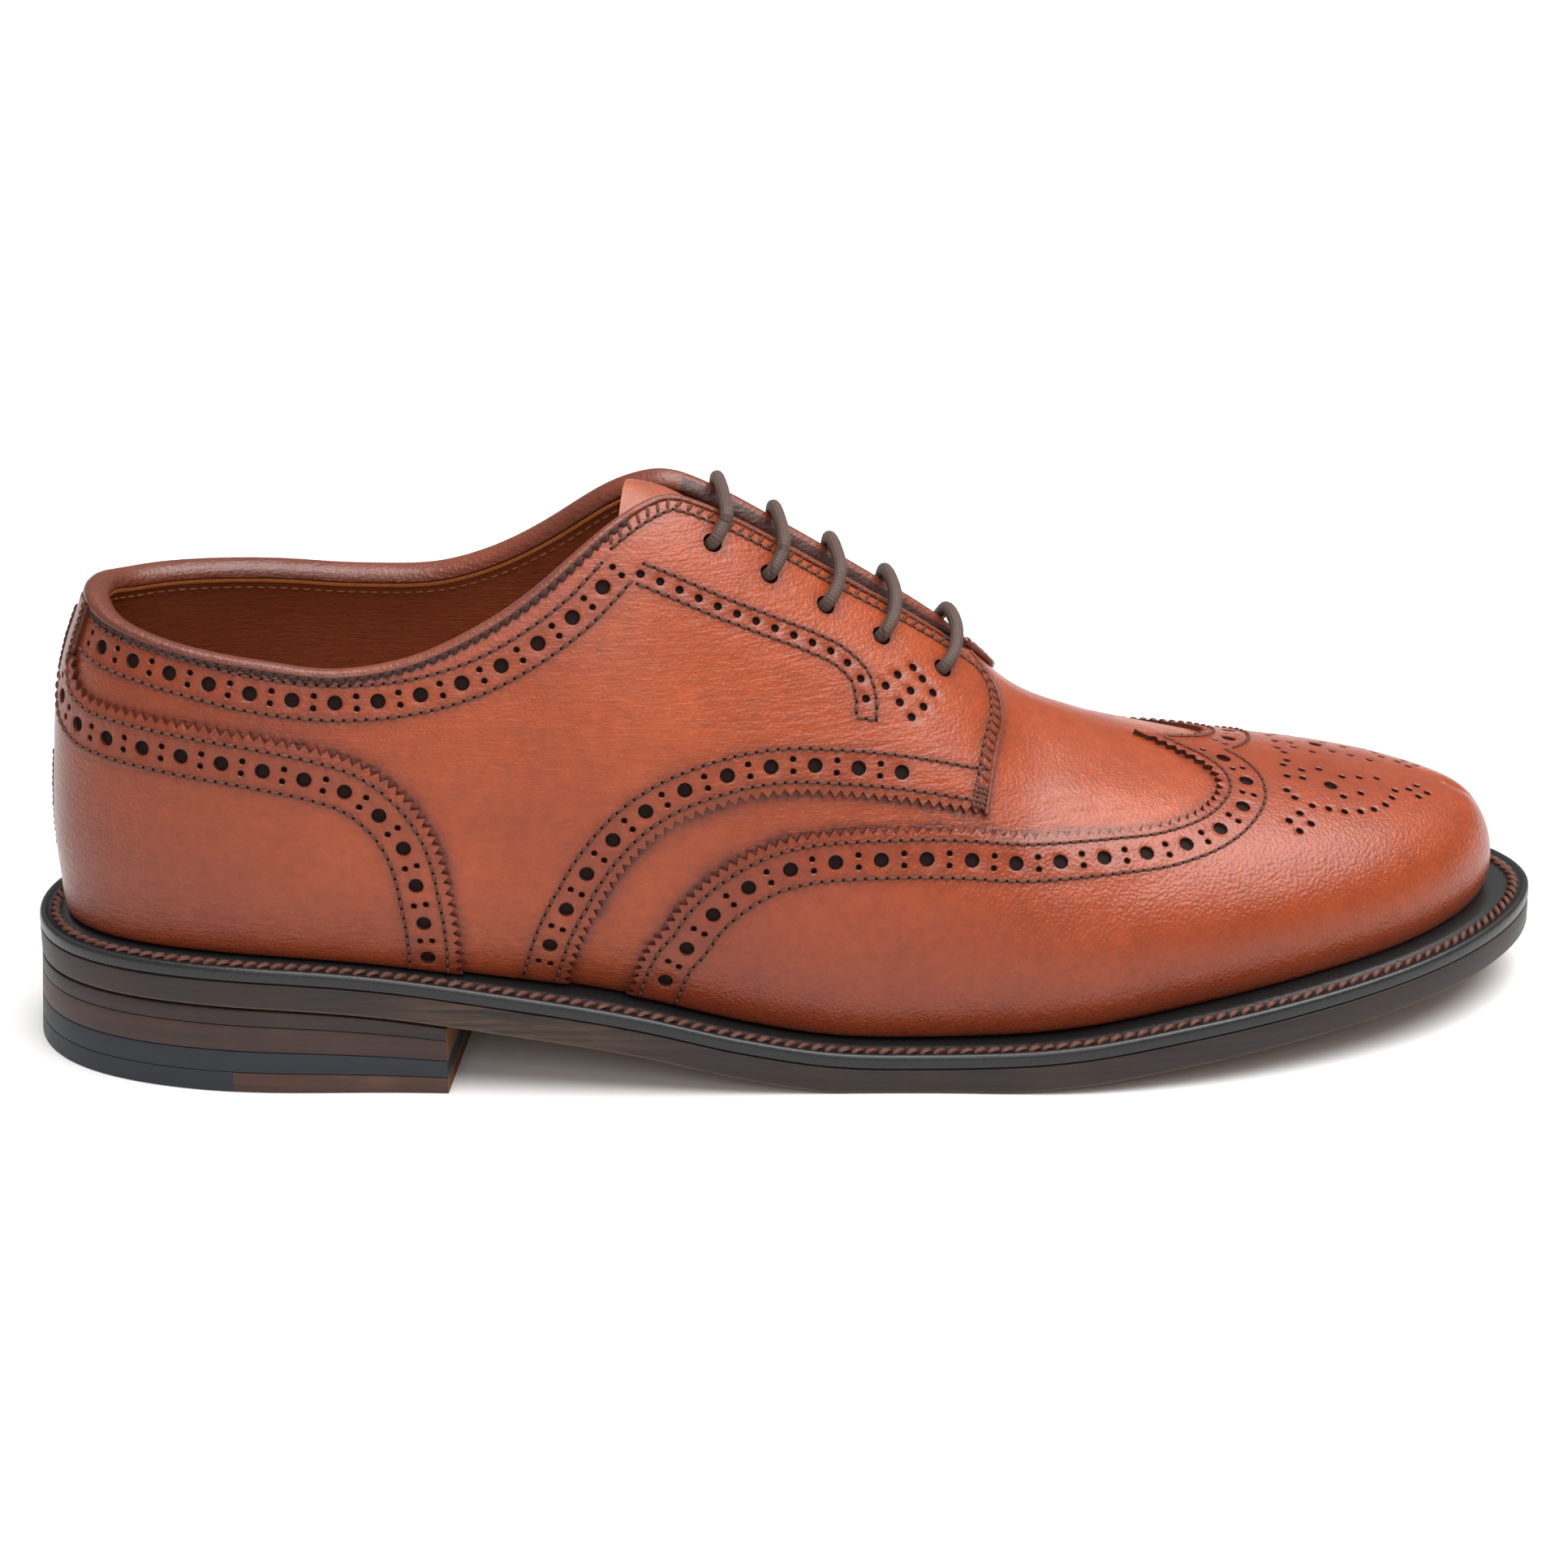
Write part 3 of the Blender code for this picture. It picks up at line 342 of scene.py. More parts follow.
TOPLINE_COLUMNS = ("around", "lateral", "medial")
TOPLINE = (
    (0.00, 0.620, 0.620), (0.05, 0.616, 0.618), (0.10, 0.594, 0.602), (0.15, 0.572, 0.592),
    (0.20, 0.548, 0.578), (0.25, 0.528, 0.562), (0.30, 0.517, 0.548), (0.35, 0.557, 0.565),
    (0.40, 0.655, 0.660), (0.425, 0.745, 0.745), (0.45, 0.825, 0.825),
)


def opening_up(around):
    """Where the upper ends: the topline's table, then the facing's edge beside a narrowing gap."""
    if abs(around) >= FACING_TOP:
        along = (abs(around) - FACING_TOP) / (THROAT_END - FACING_TOP)
        closing = max(0.0, (abs(around) - THROAT_ROUND) / (THROAT_END - THROAT_ROUND))
        half = (THROAT_GAP_TOP + (THROAT_GAP_BOTTOM - THROAT_GAP_TOP) * along) / 2
        return up_beside_ridge(around, half * math.sqrt(max(0.0, 1 - closing**2)))
    line = column(TOPLINE, TOPLINE_COLUMNS, "lateral" if around < 0 else "medial")
    line[-1] = up_beside_ridge(math.copysign(FACING_TOP, around), THROAT_GAP_TOP / 2)
    return float(smooth(column(TOPLINE, TOPLINE_COLUMNS, "around"), line, abs(around)))


def opening_line(side, start, end, count):
    return np.array([(side * a, opening_up(side * a)) for a in np.linspace(start, end, count)])


# %% [markdown]
# The pattern itself is a set of short tables, one for each edge or row, always for one side of the shoe.
# The other side is their mirror image, as a shoemaker turns a card pattern over.

# %% The edges of the panels, as read along the shoe: around and up
QUARTER_FRONT = ((0.581, 0.948), (0.590, 0.900), (0.594, 0.800), (0.589, 0.650), (0.584, 0.515))
QUARTER_LOWER = (
    (0.584, 0.515), (0.578, 0.503), (0.559, 0.480), (0.542, 0.464), (0.517, 0.440), (0.500, 0.422),
    (0.484, 0.399), (0.468, 0.372), (0.451, 0.339), (0.438, 0.306), (0.428, 0.272), (0.417, 0.220),
    (0.410, 0.152), (0.405, 0.073), (0.402, 0.010),
)
COUNTER_EDGE = (
    (0.353, 0.010), (0.353, 0.080), (0.351, 0.189), (0.348, 0.250), (0.343, 0.294), (0.336, 0.327),
    (0.322, 0.367), (0.308, 0.391), (0.289, 0.407), (0.269, 0.417), (0.234, 0.430), (0.203, 0.439),
    (0.167, 0.448), (0.128, 0.456), (0.096, 0.464), (0.074, 0.482), (0.061, 0.515),
)
DOG_TAIL_HALF = 0.057
WING_EDGE = (
    (0.427, 0.010), (0.430, 0.070), (0.433, 0.117), (0.440, 0.188), (0.450, 0.240), (0.464, 0.287),
    (0.477, 0.321), (0.493, 0.355), (0.510, 0.383), (0.527, 0.405), (0.550, 0.434), (0.584, 0.486),
    (0.610, 0.540), (0.640, 0.592), (0.667, 0.637), (0.685, 0.690), (0.696, 0.751), (0.701, 0.808),
    (0.700, 0.853), (0.693, 0.902), (0.680, 0.942), (0.669, 0.975), (0.661, 1.000),
)
TOP_BAND = (
    (0.004, 0.565), (0.050, 0.560), (0.100, 0.545), (0.146, 0.532), (0.200, 0.509), (0.245, 0.487),
    (0.294, 0.476), (0.337, 0.491), (0.376, 0.531), (0.408, 0.598), (0.427, 0.668),
)
FACING_BAND = (
    (0.437, 0.666), (0.453, 0.655), (0.468, 0.653), (0.492, 0.663), (0.510, 0.674), (0.521, 0.676),
    (0.529, 0.661), (0.532, 0.629), (0.532, 0.585),
)
DIAMOND = ((0.5535, 0.741), (0.5465, 0.703), (0.5575, 0.727), (0.5410, 0.666), (0.5520, 0.684),
           (0.5620, 0.709), (0.5470, 0.647), (0.5575, 0.665), (0.5520, 0.630))
EYELETS = ((0.468, 0.766), (0.492, 0.765), (0.516, 0.770), (0.540, 0.775), (0.567, 0.791))

# The medallion on the toe in plan: millimetres from the back of the heel, to each side of the middle
# line, and the hole's radius
MEDALLION = (
    (263.4, 10.9, 1.4), (255.4, 2.2, 0.75), (254.3, 4.6, 0.75), (258.0, 6.1, 0.75), (261.8, 4.6, 0.75),
    (254.5, 9.4, 0.75), (257.7, 9.5, 0.75), (253.7, 14.7, 0.75), (255.1, 16.9, 0.75), (258.5, 18.7, 0.75),
    (261.9, 18.9, 0.75), (265.2, 19.0, 0.75), (268.6, 18.2, 0.75), (271.6, 16.8, 0.75),
    (274.4, 14.6, 0.75), (276.2, 11.6, 0.75), (277.3, 8.5, 0.75), (266.4, 6.6, 0.75), (270.2, 5.6, 0.75),
    (274.0, 4.4, 0.75), (265.6, 14.3, 0.75), (269.5, 12.2, 0.75),
    (253.1, 23.6, 0.8), (255.6, 21.3, 0.8), (257.6, 23.6, 0.8), (255.0, 25.8, 0.8),
    (280.5, 6.8, 0.75), (282.2, 9.0, 0.75), (284.4, 6.8, 0.75), (282.4, 4.6, 0.75),
)


def places_in_plan(x, y):
    """Chart places for points seen from above: Newton steps from the nearest place of a coarse grid."""
    grid_a, grid_u = np.meshgrid(np.linspace(-0.995, -0.6, 160), np.linspace(0.45, 0.999, 90), indexing="ij")
    grid = last_points(grid_a, grid_u)[..., :2].reshape(-1, 2)
    target = np.stack([x, y], -1)
    nearest = ((grid[None] - target[:, None]) ** 2).sum(-1).argmin(1)
    place = np.stack([grid_a.ravel()[nearest], grid_u.ravel()[nearest]], -1)
    for _ in range(4):
        here = last_points(place[:, 0], place[:, 1])[:, :2]
        by_a = (last_points(place[:, 0] + 0.001, place[:, 1])[:, :2] - here) / 0.001
        by_u = (last_points(place[:, 0], place[:, 1] - 0.004)[:, :2] - here) / -0.004
        step = np.linalg.solve(np.stack([by_a, by_u], -1), (target - here)[..., None])[..., 0]
        place = place + np.clip(step, -0.02, 0.02)
        place[:, 1] = np.clip(place[:, 1], 0, 0.9985)
    return place


# %% [markdown]
# ## Making meshes
# Three makers do nearly all the work: a leather panel cut from a chart with punched pits, a profile carried
# along a path, and a small shape repeated at many places. Each puts whole arrays into a mesh.

# %% Mesh helpers
PIECES = []
SHARP_EDGE = 38


def add_piece(name, points, faces, looks, materials=None, sharp=SHARP_EDGE, attributes=None):
    """Put arrays into a mesh object that stands in the frame and rides on the shoe."""
    mesh = bpy.data.meshes.new(name)
    mesh.from_pydata((np.asarray(points) + ORIGIN).tolist(), [], faces)
    for look in looks:
        mesh.materials.append(look)
    if materials is not None:
        mesh.polygons.foreach_set("material_index", np.asarray(materials, np.int32))
    for key, values in (attributes or {}).items():
        layer = mesh.attributes.new(key, "FLOAT", "POINT")
        layer.data.foreach_set("value", np.asarray(values, np.float32))
    form = bmesh.new()
    form.from_mesh(mesh)
    bmesh.ops.recalc_face_normals(form, faces=form.faces)
    form.to_mesh(mesh)
    form.free()
    mesh.polygons.foreach_set("use_smooth", np.ones(len(mesh.polygons), bool))
    mesh.set_sharp_from_angle(angle=math.radians(sharp))
    piece = bpy.data.objects.new(name, mesh)
    bpy.context.scene.collection.objects.link(piece)
    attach(piece, "root")
    PIECES.append(piece)
    print(f"{name}: {len(mesh.vertices)} points, {len(mesh.polygons)} faces")
    return piece


def inside(points, polygon):
    """Even and odd crossings of a ray tell which points lie in a closed line."""
    result = np.zeros(len(points), bool)
    for (x0, y0), (x1, y1) in zip(polygon, np.roll(polygon, -1, axis=0)):
        if y0 != y1:
            crosses = (y0 > points[:, 1]) != (y1 > points[:, 1])
            result ^= crosses & (points[:, 0] < x0 + (points[:, 1] - y0) * (x1 - x0) / (y1 - y0))
    return result


def rings(holes, scale=1.0):
    """Round holes of the real surface: short walks from each middle place in all directions."""
    if not holes:
        return []
    radius = np.array([radius for _, radius in holes])
    counts = np.where(radius > 1.2 * MM, 18, 11)
    ends = np.cumsum(counts)
    turns = (np.arange(ends[-1]) - np.repeat(ends - counts, counts)) * 2 * math.pi / np.repeat(counts, counts)
    middles = np.repeat(np.array([place for place, _ in holes], float), counts, axis=0)
    circles = np.stack([np.cos(turns), np.sin(turns)], -1)
    return np.split(walked(middles, circles, np.repeat(radius * scale, counts), 3), ends[:-1])


def nearest(lines, points):
    """The distance from each flat point to the nearest point of the lines."""
    if not len(lines):
        return np.ones(len(points))
    every = np.concatenate(lines)
    tree = KDTree(len(every))
    for i, (x, y) in enumerate(every):
        tree.insert((x, y, 0), i)
    tree.balance()
    return np.array([tree.find((x, y, 0))[2] for x, y in points])


# The chart is stretched to about its real size for meshing; a pit has a second ring round its mouth, and
# the mesh's own points keep clear of cut lines by a share of its pitch
CHART = np.array([SOLE_LENGTH * 1.07, 0.1])
PIT_RIM = 1.28
GRID_CLEARANCE = 0.45
PIT_DEPTH = 0.95 * MM
EDGE_DIP = 0.18 * MM
PIT_DIP = 0.14 * MM
CREASE_COLUMNS = ("around", "up", "along", "across", "turn", "depth")
CREASES = (
    (0.610, 0.74, 0.050, 0.055, 0.5, 0.35), (0.632, 0.60, 0.055, 0.040, 0.6, 0.25),
    (0.600, 0.42, 0.060, 0.035, 0.2, 0.22), (0.560, 0.28, 0.070, 0.040, 0.1, 0.20),
    (0.650, 0.42, 0.040, 0.050, 0.8, 0.22), (0.455, 0.52, 0.050, 0.060, -0.5, 0.30),
    (0.395, 0.42, 0.045, 0.050, -0.9, 0.30), (0.300, 0.30, 0.060, 0.050, 0.0, 0.25),
    (0.500, 0.56, 0.040, 0.045, 0.2, 0.25), (0.520, 0.84, 0.030, 0.050, 0.9, 0.25),
    (0.720, 0.46, 0.060, 0.070, 0.3, 0.20),
)


def creases(around, up):
    """Soft troughs: a bell of the turned distance from each crease's middle, times its depth."""
    sink = np.zeros(np.shape(around))
    folded = np.abs((np.asarray(around) + 1) % 2 - 1)
    for row in CREASES:
        crease = dict(zip(CREASE_COLUMNS, row))
        along, across = folded - crease["around"], (up - crease["up"]) * 0.3
        turn = crease["turn"]
        first = along * math.cos(turn) + across * math.sin(turn)
        second = across * math.cos(turn) - along * math.sin(turn)
        sink += crease["depth"] * MM * np.exp(-(first / crease["along"]) ** 2
                                              - (second / (crease["across"] * 0.3)) ** 2)
    return sink


def panel(name, outline, pits, through, depth, thickness, looks, pitch=1.35 * MM, rows=(), marks=(), seam=""):
    """A piece of leather: its face, punched pits with floors, its cut edge and its back. It is darker beside
    its rows, and beside its marks, where another piece ends on top of it: there the dark is gathered wax and
    painted shade cast by that piece's edge."""
    pit_loops, pit_rims = rings(pits), rings(pits, PIT_RIM)
    flat_loops = [loop * CHART for loop in [outline] + pit_loops + rings(through)]
    low, high = flat_loops[0].min(0), flat_loops[0].max(0)
    grid_x, grid_y = np.meshgrid(np.arange(low[0], high[0], pitch),
                                 np.arange(low[1], high[1], pitch * 0.87))
    grid_x = grid_x + (np.arange(grid_x.shape[0]) % 2)[:, None] * pitch / 2
    grid = np.stack([grid_x.ravel(), grid_y.ravel()], -1)
    grid = grid[inside(grid, flat_loops[0])]
    for loop in flat_loops[1:]:
        middle = loop.mean(0)
        grid = grid[np.hypot(*(grid - middle).T) > np.hypot(*(loop - middle).T).max() * 1.4]
    grid = grid[nearest(flat_loops, grid) > pitch * GRID_CLEARANCE]
    fixed = np.concatenate(flat_loops)
    rows, marks = ([np.asarray(line) * CHART for line in lines] for lines in (rows, marks))
    rim_points = [loop * CHART for loop in pit_rims]
    for line in marks:
        line = line[inside(line, flat_loops[0])]
        rim_points.append(line[nearest(flat_loops, line) > pitch * GRID_CLEARANCE])
    points = np.concatenate(flat_loops + rim_points + [grid])
    owner = np.full(len(points), -1)
    edges, first = [], 0
    for number, loop in enumerate(flat_loops):
        owner[first:first + len(loop)] = number
        edges += [(first + i, first + (i + 1) % len(loop)) for i in range(len(loop))]
        first += len(loop)
    flat, _, faces, origins, _, _ = delaunay_2d_cdt([Vector(p) for p in points], edges, [], 0, 1e-8)
    flat = np.array([tuple(p) for p in flat])
    came_from = np.array([o[0] if o else 0 for o in origins])
    ids = owner[came_from]
    back_to = np.full(len(points), -1)
    for new, old in enumerate(origins):
        back_to[old] = new
    faces = np.array(faces)
    (side_x, side_y), (base_x, base_y) = ((flat[faces[:, k]] - flat[faces[:, 0]]).T for k in (1, 2))
    slivers = np.abs(side_x * base_y - side_y * base_x) < 2e-10
    faces = faces[inside(flat[faces].mean(1), flat_loops[0]) & ~slivers]
    corners = ids[faces]
    same = (corners[:, 0] == corners[:, 1]) & (corners[:, 1] == corners[:, 2]) & (corners[:, 0] > 0)
    in_pit = same & (corners[:, 0] <= len(pit_loops))
    in_hole = same & (corners[:, 0] > len(pit_loops))
    around, up = (flat / CHART).T
    sink = creases(around, up)
    dip = np.where(ids == 0, EDGE_DIP, np.where(ids > 0, PIT_DIP, 0.0))

    def at_seam(around, up):
        return (up > 0.999) | (np.abs(around) > 0.9999) & (seam == "toe")

    on_seam = at_seam(around, up)
    if seam:
        dip = np.where((ids == 0) & on_seam, 0.0, dip)
    open_edge = fixed[~at_seam(*(fixed / CHART).T)]
    # Distance to rows and the open edge, where polish gathers, and to the marks, where wax and painted shade
    # lie beside the edge of the piece on top.
    polish_and_shade = np.minimum(nearest(rows, flat), nearest([open_edge], flat) + 0.4 * MM)
    polish_and_shade = np.minimum(polish_and_shade, np.maximum(nearest(marks, flat) - 0.45 * MM, 0))
    total = len(flat)
    face_points = layer_points(around, up, depth + sink + dip)
    back_points = layer_points(around, up, depth + thickness + sink * 0.5)
    floor_points = layer_points(around, up, depth + sink + PIT_DEPTH)
    every = np.concatenate([face_points, back_points, floor_points])
    top = faces[~same]
    floor = faces[in_pit] + 2 * total
    back = faces[~in_hole][:, ::-1] + total
    walls = []
    start = 0
    for number, loop in enumerate(flat_loops):
        ring = back_to[np.arange(start, start + len(loop))]
        start += len(loop)
        after = np.roll(ring, -1)
        if seam and number == 0:
            keep = ~on_seam[ring] | ~on_seam[after]
            ring, after = ring[keep], after[keep]
        drop = 2 * total if 0 < number <= len(pit_loops) else total
        walls.append(np.stack([ring, after, after + drop, ring + drop], -1))
    walls = np.concatenate(walls)
    polygons = top.tolist() + floor.tolist() + back.tolist() + walls.tolist()
    index = [0] * len(top) + [2] * len(floor) + [3] * len(back) + [1] * len(walls)
    used = np.zeros(len(every), bool)
    for polygon in (top, floor, back, walls):
        used[polygon.ravel()] = True
    renumber = np.cumsum(used) - 1
    polygons = [[int(renumber[i]) for i in polygon] for polygon in polygons]
    polish_and_shade = np.concatenate([polish_and_shade, np.full(total, 0.02), np.zeros(total)])[used]
    piece = add_piece(name, every[used], polygons, looks, index, attributes={"clear": polish_and_shade / MM})
    if seam:
        form = bmesh.new()
        form.from_mesh(piece.data)
        bmesh.ops.remove_doubles(form, verts=[v for v in form.verts if v.is_boundary], dist=0.12 * MM)
        bmesh.ops.recalc_face_normals(form, faces=form.faces)
        form.to_mesh(piece.data)
        form.free()
        piece.data.set_sharp_from_angle(angle=math.radians(SHARP_EDGE))
    return piece


def ring_walls(levels, count, closed=False):
    """Quads from each ring of points to the next, and from the last to the first when closed."""
    level, point = np.meshgrid(np.arange(levels if closed else levels - 1), np.arange(count), indexing="ij")
    here, there, after = level * count, (level + 1) % levels * count, (point + 1) % count
    return np.stack([here + point, here + after, there + after, there + point], -1).reshape(-1, 4).tolist()


def carried(name, path, frames, profile, looks, closed=False, materials=0, attributes=None, size=1.0):
    """Each path point plus the profile's two measures times the two directions of its frame."""
    sideways, upward = frames
    profile = np.asarray(profile, float)
    if profile.ndim == 2:
        profile = np.broadcast_to(profile, (len(path), *profile.shape))
    profile = profile * np.broadcast_to(size, len(path))[:, None, None]
    points = path[:, None] + sideways[:, None] * profile[..., :1] + upward[:, None] * profile[..., 1:]
    rows, count = profile.shape[:2]
    faces = ring_walls(rows, count, closed)
    index = np.broadcast_to(materials, (len(faces) // count, count)).ravel().tolist()
    if not closed:
        faces += [list(range(count)), list(range((rows - 1) * count, rows * count))]
        index += [0] * 2
    return add_piece(name, points.reshape(-1, 3), faces, looks, index, attributes=attributes)


def tangents(points, closed=False):
    """Unit directions along a line of points."""
    if closed:
        run = np.roll(points, -1, axis=0) - np.roll(points, 1, axis=0)
    else:
        run = np.gradient(points, axis=0)
    return run / np.linalg.norm(run, axis=1, keepdims=True)


# %% [markdown]
# Thousands of stitches share one shape of 36 points, thick in the middle and bent down at its ends. Rows of
# them are placed at once, by adding arrays, and small dark dots between them stand for the needle's holes as
# painted shade.

# %% A stitch to repeat
SIDES = 6
STATIONS = np.array([-0.5, -0.4, -0.15, 0.15, 0.4, 0.5])[:, None]
GIRTH = np.array([0.35, 0.85, 1.0, 1.0, 0.85, 0.35])[:, None]
SIDE_TURNS = np.arange(SIDES) * 2 * math.pi / SIDES
STITCH = np.stack(np.broadcast_arrays(
    STATIONS, GIRTH * np.cos(SIDE_TURNS),
    GIRTH * np.sin(SIDE_TURNS) - 0.9 * (np.abs(STATIONS) * 2) ** 4), -1)
STITCH_FACES = ring_walls(len(STATIONS), SIDES)
STITCH_FACES += [list(range(SIDES))[::-1], list(range((len(STATIONS) - 1) * SIDES, len(STATIONS) * SIDES))]
THREAD_RADIUS = 0.36 * MM
ROW_PITCH = 2.15 * MM
PRICK_RADIUS = 0.35 * MM
PRICK_LIFT = 0.035 * MM
BIG_HOLE = 1.5 * MM
SMALL_HOLE = 0.62 * MM
PAIR_ASIDE = 1.2 * MM
threads, pricks = {}, []
print("one stitch has", STITCH.size // 3, "points")


def distances(points):
    """How far along the line each of its points lies."""
    return np.r_[0, np.cumsum(np.linalg.norm(np.diff(points, axis=0), axis=1))]


def read_at(steps, run, values):
    """Rows of values, read between the points of a line at some distances along it."""
    return np.stack([np.interp(steps, run, part) for part in values.T], -1)


def sew(kind, points, normals, pitch, length, radius, lean=0.0, lift=0.0, wobble=0.0):
    """Place one stitch per step: middle plus length along, girth across and girth out of the leather."""
    run = distances(points)
    steps = np.arange(pitch / 2, run[-1], pitch)
    middle, normal = read_at(steps, run, points), read_at(steps, run, normals)
    along = read_at(steps + pitch / 3, run, points) - middle
    along -= normal * (along * normal).sum(-1, keepdims=True)
    along /= np.linalg.norm(along, axis=1, keepdims=True)
    across = np.cross(normal, along)
    chance = np.random.default_rng(3).uniform(-1, 1, (2, len(steps), 1))
    angle = lean + wobble * chance[0]
    first = along * np.cos(angle) + across * np.sin(angle)
    second = across * np.cos(angle) - along * np.sin(angle)
    middle = middle + normal * (lift + radius * 0.35)
    shape = STITCH.reshape(-1, 3)
    size = 1 + 0.12 * chance[1][:, None]
    every = (middle[:, None] + first[:, None] * shape[None, :, :1] * length
             + (second[:, None] * shape[None, :, 1:2] + normal[:, None] * shape[None, :, 2:]) * radius * size)
    threads.setdefault(kind, []).append(every)


def prick(points, normals):
    """Small six-sided dots where the needle went in, between the stitches; their near-black is painted shade
    inside the holes.
    """
    run = distances(points)
    steps = np.arange(0, run[-1], ROW_PITCH)
    middle, normal = read_at(steps, run, points), read_at(steps, run, normals)
    helper = np.cross(normal, [0.3, 0.1, 0.9])
    helper /= np.linalg.norm(helper, axis=1, keepdims=True)
    other = np.cross(normal, helper)
    ring = [middle + (helper * math.cos(t) + other * math.sin(t)) * PRICK_RADIUS + normal * PRICK_LIFT
            for t in SIDE_TURNS]
    low = [middle - normal * 0.3 * MM]
    pricks.append(np.stack(ring + low, 1))


def on_leather(line, depth=0.0):
    """Points and outward normals of a chart line on the leather at some depth, down in its creases too."""
    around, up = line.T
    return layer_points(around, up, depth + creases(around, up)), last_normals(around, up)


def stitch_row(line, depth=0.0):
    """A row of stitches and needle holes along a chart line."""
    line = line[(line[:, 1] > 0.004) & (line[:, 1] < 0.998)]
    points, normals = on_leather(spaced(line, 0.8 * MM), depth)
    sew("thread", points, normals, ROW_PITCH, 1.8 * MM, THREAD_RADIUS)
    prick(points, normals)


def hole_row(line, pitch, start, trim=0):
    """Big holes at equal steps and a square pair of small ones halfway between them."""
    middle = spaced(line, pitch / 2, start)
    halves = slice(1, len(middle) - trim, 2)
    found = [(p, BIG_HOLE) for p in middle[:len(middle) - trim:2]]
    for offset in (PAIR_ASIDE, -PAIR_ASIDE):
        found += [(p, SMALL_HOLE) for p in beside(middle, offset)[halves]]
    return [(p, r) for p, r in found if 0.045 < p[1] < 0.985]


# %% [markdown]
# ## Finishes
# Leather, wax, thread and rubber differ in colour, gloss and relief. Each finish is a small sum of noise
# written with ordinary signs: a Signal wraps one shader value, and a Finish adds every node by one method.

# %% Shader maths
class Signal:
    """One shader value; the signs + - * and / add a Math node each."""

    def __init__(self, finish, socket):
        self.finish, self.socket = finish, socket

    def maths(self, operation, first, second):
        return self.finish.add("ShaderNodeMath", {"operation": operation}, {0: first, 1: second})

    def __add__(self, other):
        return self.maths("ADD", self, other)

    def __sub__(self, other):
        return self.maths("SUBTRACT", self, other)

    def __mul__(self, other):
        return self.maths("MULTIPLY", self, other)

    def __truediv__(self, other):
        return self.maths("DIVIDE", self, other)

    __radd__, __rmul__ = __add__, __mul__


class Finish:
    """A material, or the world, whose nodes are all added by one method."""

    def __init__(self, name, owners="materials", shader="Principled BSDF", place="Object", **fixed):
        self.made = getattr(bpy.data, owners).new(name)
        self.made.use_nodes = True
        self.tree = self.made.node_tree
        self.shader = self.tree.nodes[shader]
        for socket, value in fixed.items():
            self.shader.inputs[socket.replace("_", " ")].default_value = value
        self.place = self.add("ShaderNodeTexCoord", output=place)

    def add(self, kind, settings=None, inputs=None, output=0):
        node = self.tree.nodes.new(kind)
        for key, value in (settings or {}).items():
            if key == "stops":
                ramp = node.color_ramp
                while len(ramp.elements) < len(value):
                    ramp.elements.new(0.5)
                for element, (position, level) in zip(ramp.elements, value):
                    element.position, element.color = position, (level, level, level, 1)
            else:
                setattr(node, key, value)
        for key, value in (inputs or {}).items():
            if isinstance(value, Signal):
                self.tree.links.new(value.socket, node.inputs[key])
            else:
                node.inputs[key].default_value = value
        return Signal(self, node.outputs[output])

    def noise(self, scale, detail=3.0, roughness=0.55, where=None, distortion=0.0):
        return self.add("ShaderNodeTexNoise", {}, {
            "Vector": where or self.place, "Scale": scale, "Detail": detail, "Roughness": roughness,
            "Distortion": distortion})

    def pebbles(self, scale):
        return self.add("ShaderNodeTexVoronoi", {"feature": "SMOOTH_F1"},
                        {"Vector": self.place, "Scale": scale})

    def place_along(self, axis):
        return self.add("ShaderNodeSeparateXYZ", {}, {"Vector": self.place}, output=axis)

    def stretched(self, x, y, z, turn=(0, 0, 0)):
        return self.add("ShaderNodeMapping", {}, {"Vector": self.place, "Scale": (x, y, z), "Rotation": turn})

    def steps(self, value, stops):
        return self.add("ShaderNodeValToRGB", {"stops": stops}, {"Fac": value})

    def reading(self, name):
        return self.add("ShaderNodeAttribute", {"attribute_name": name}, output="Fac")

    def mix(self, factor, first, second):
        return self.add("ShaderNodeMix", {"data_type": "RGBA"}, {0: factor, 6: first, 7: second}, output=2)

    def show(self, **sockets):
        for socket, value in sockets.items():
            self.tree.links.new(value.socket, self.shader.inputs[socket.replace("_", " ")])
        return self

    def relief(self, height, distance, strength=1.0):
        bump = self.add("ShaderNodeBump", {}, {"Height": height, "Distance": distance, "Strength": strength},
                        output="Normal")
        return self.show(Normal=bump)
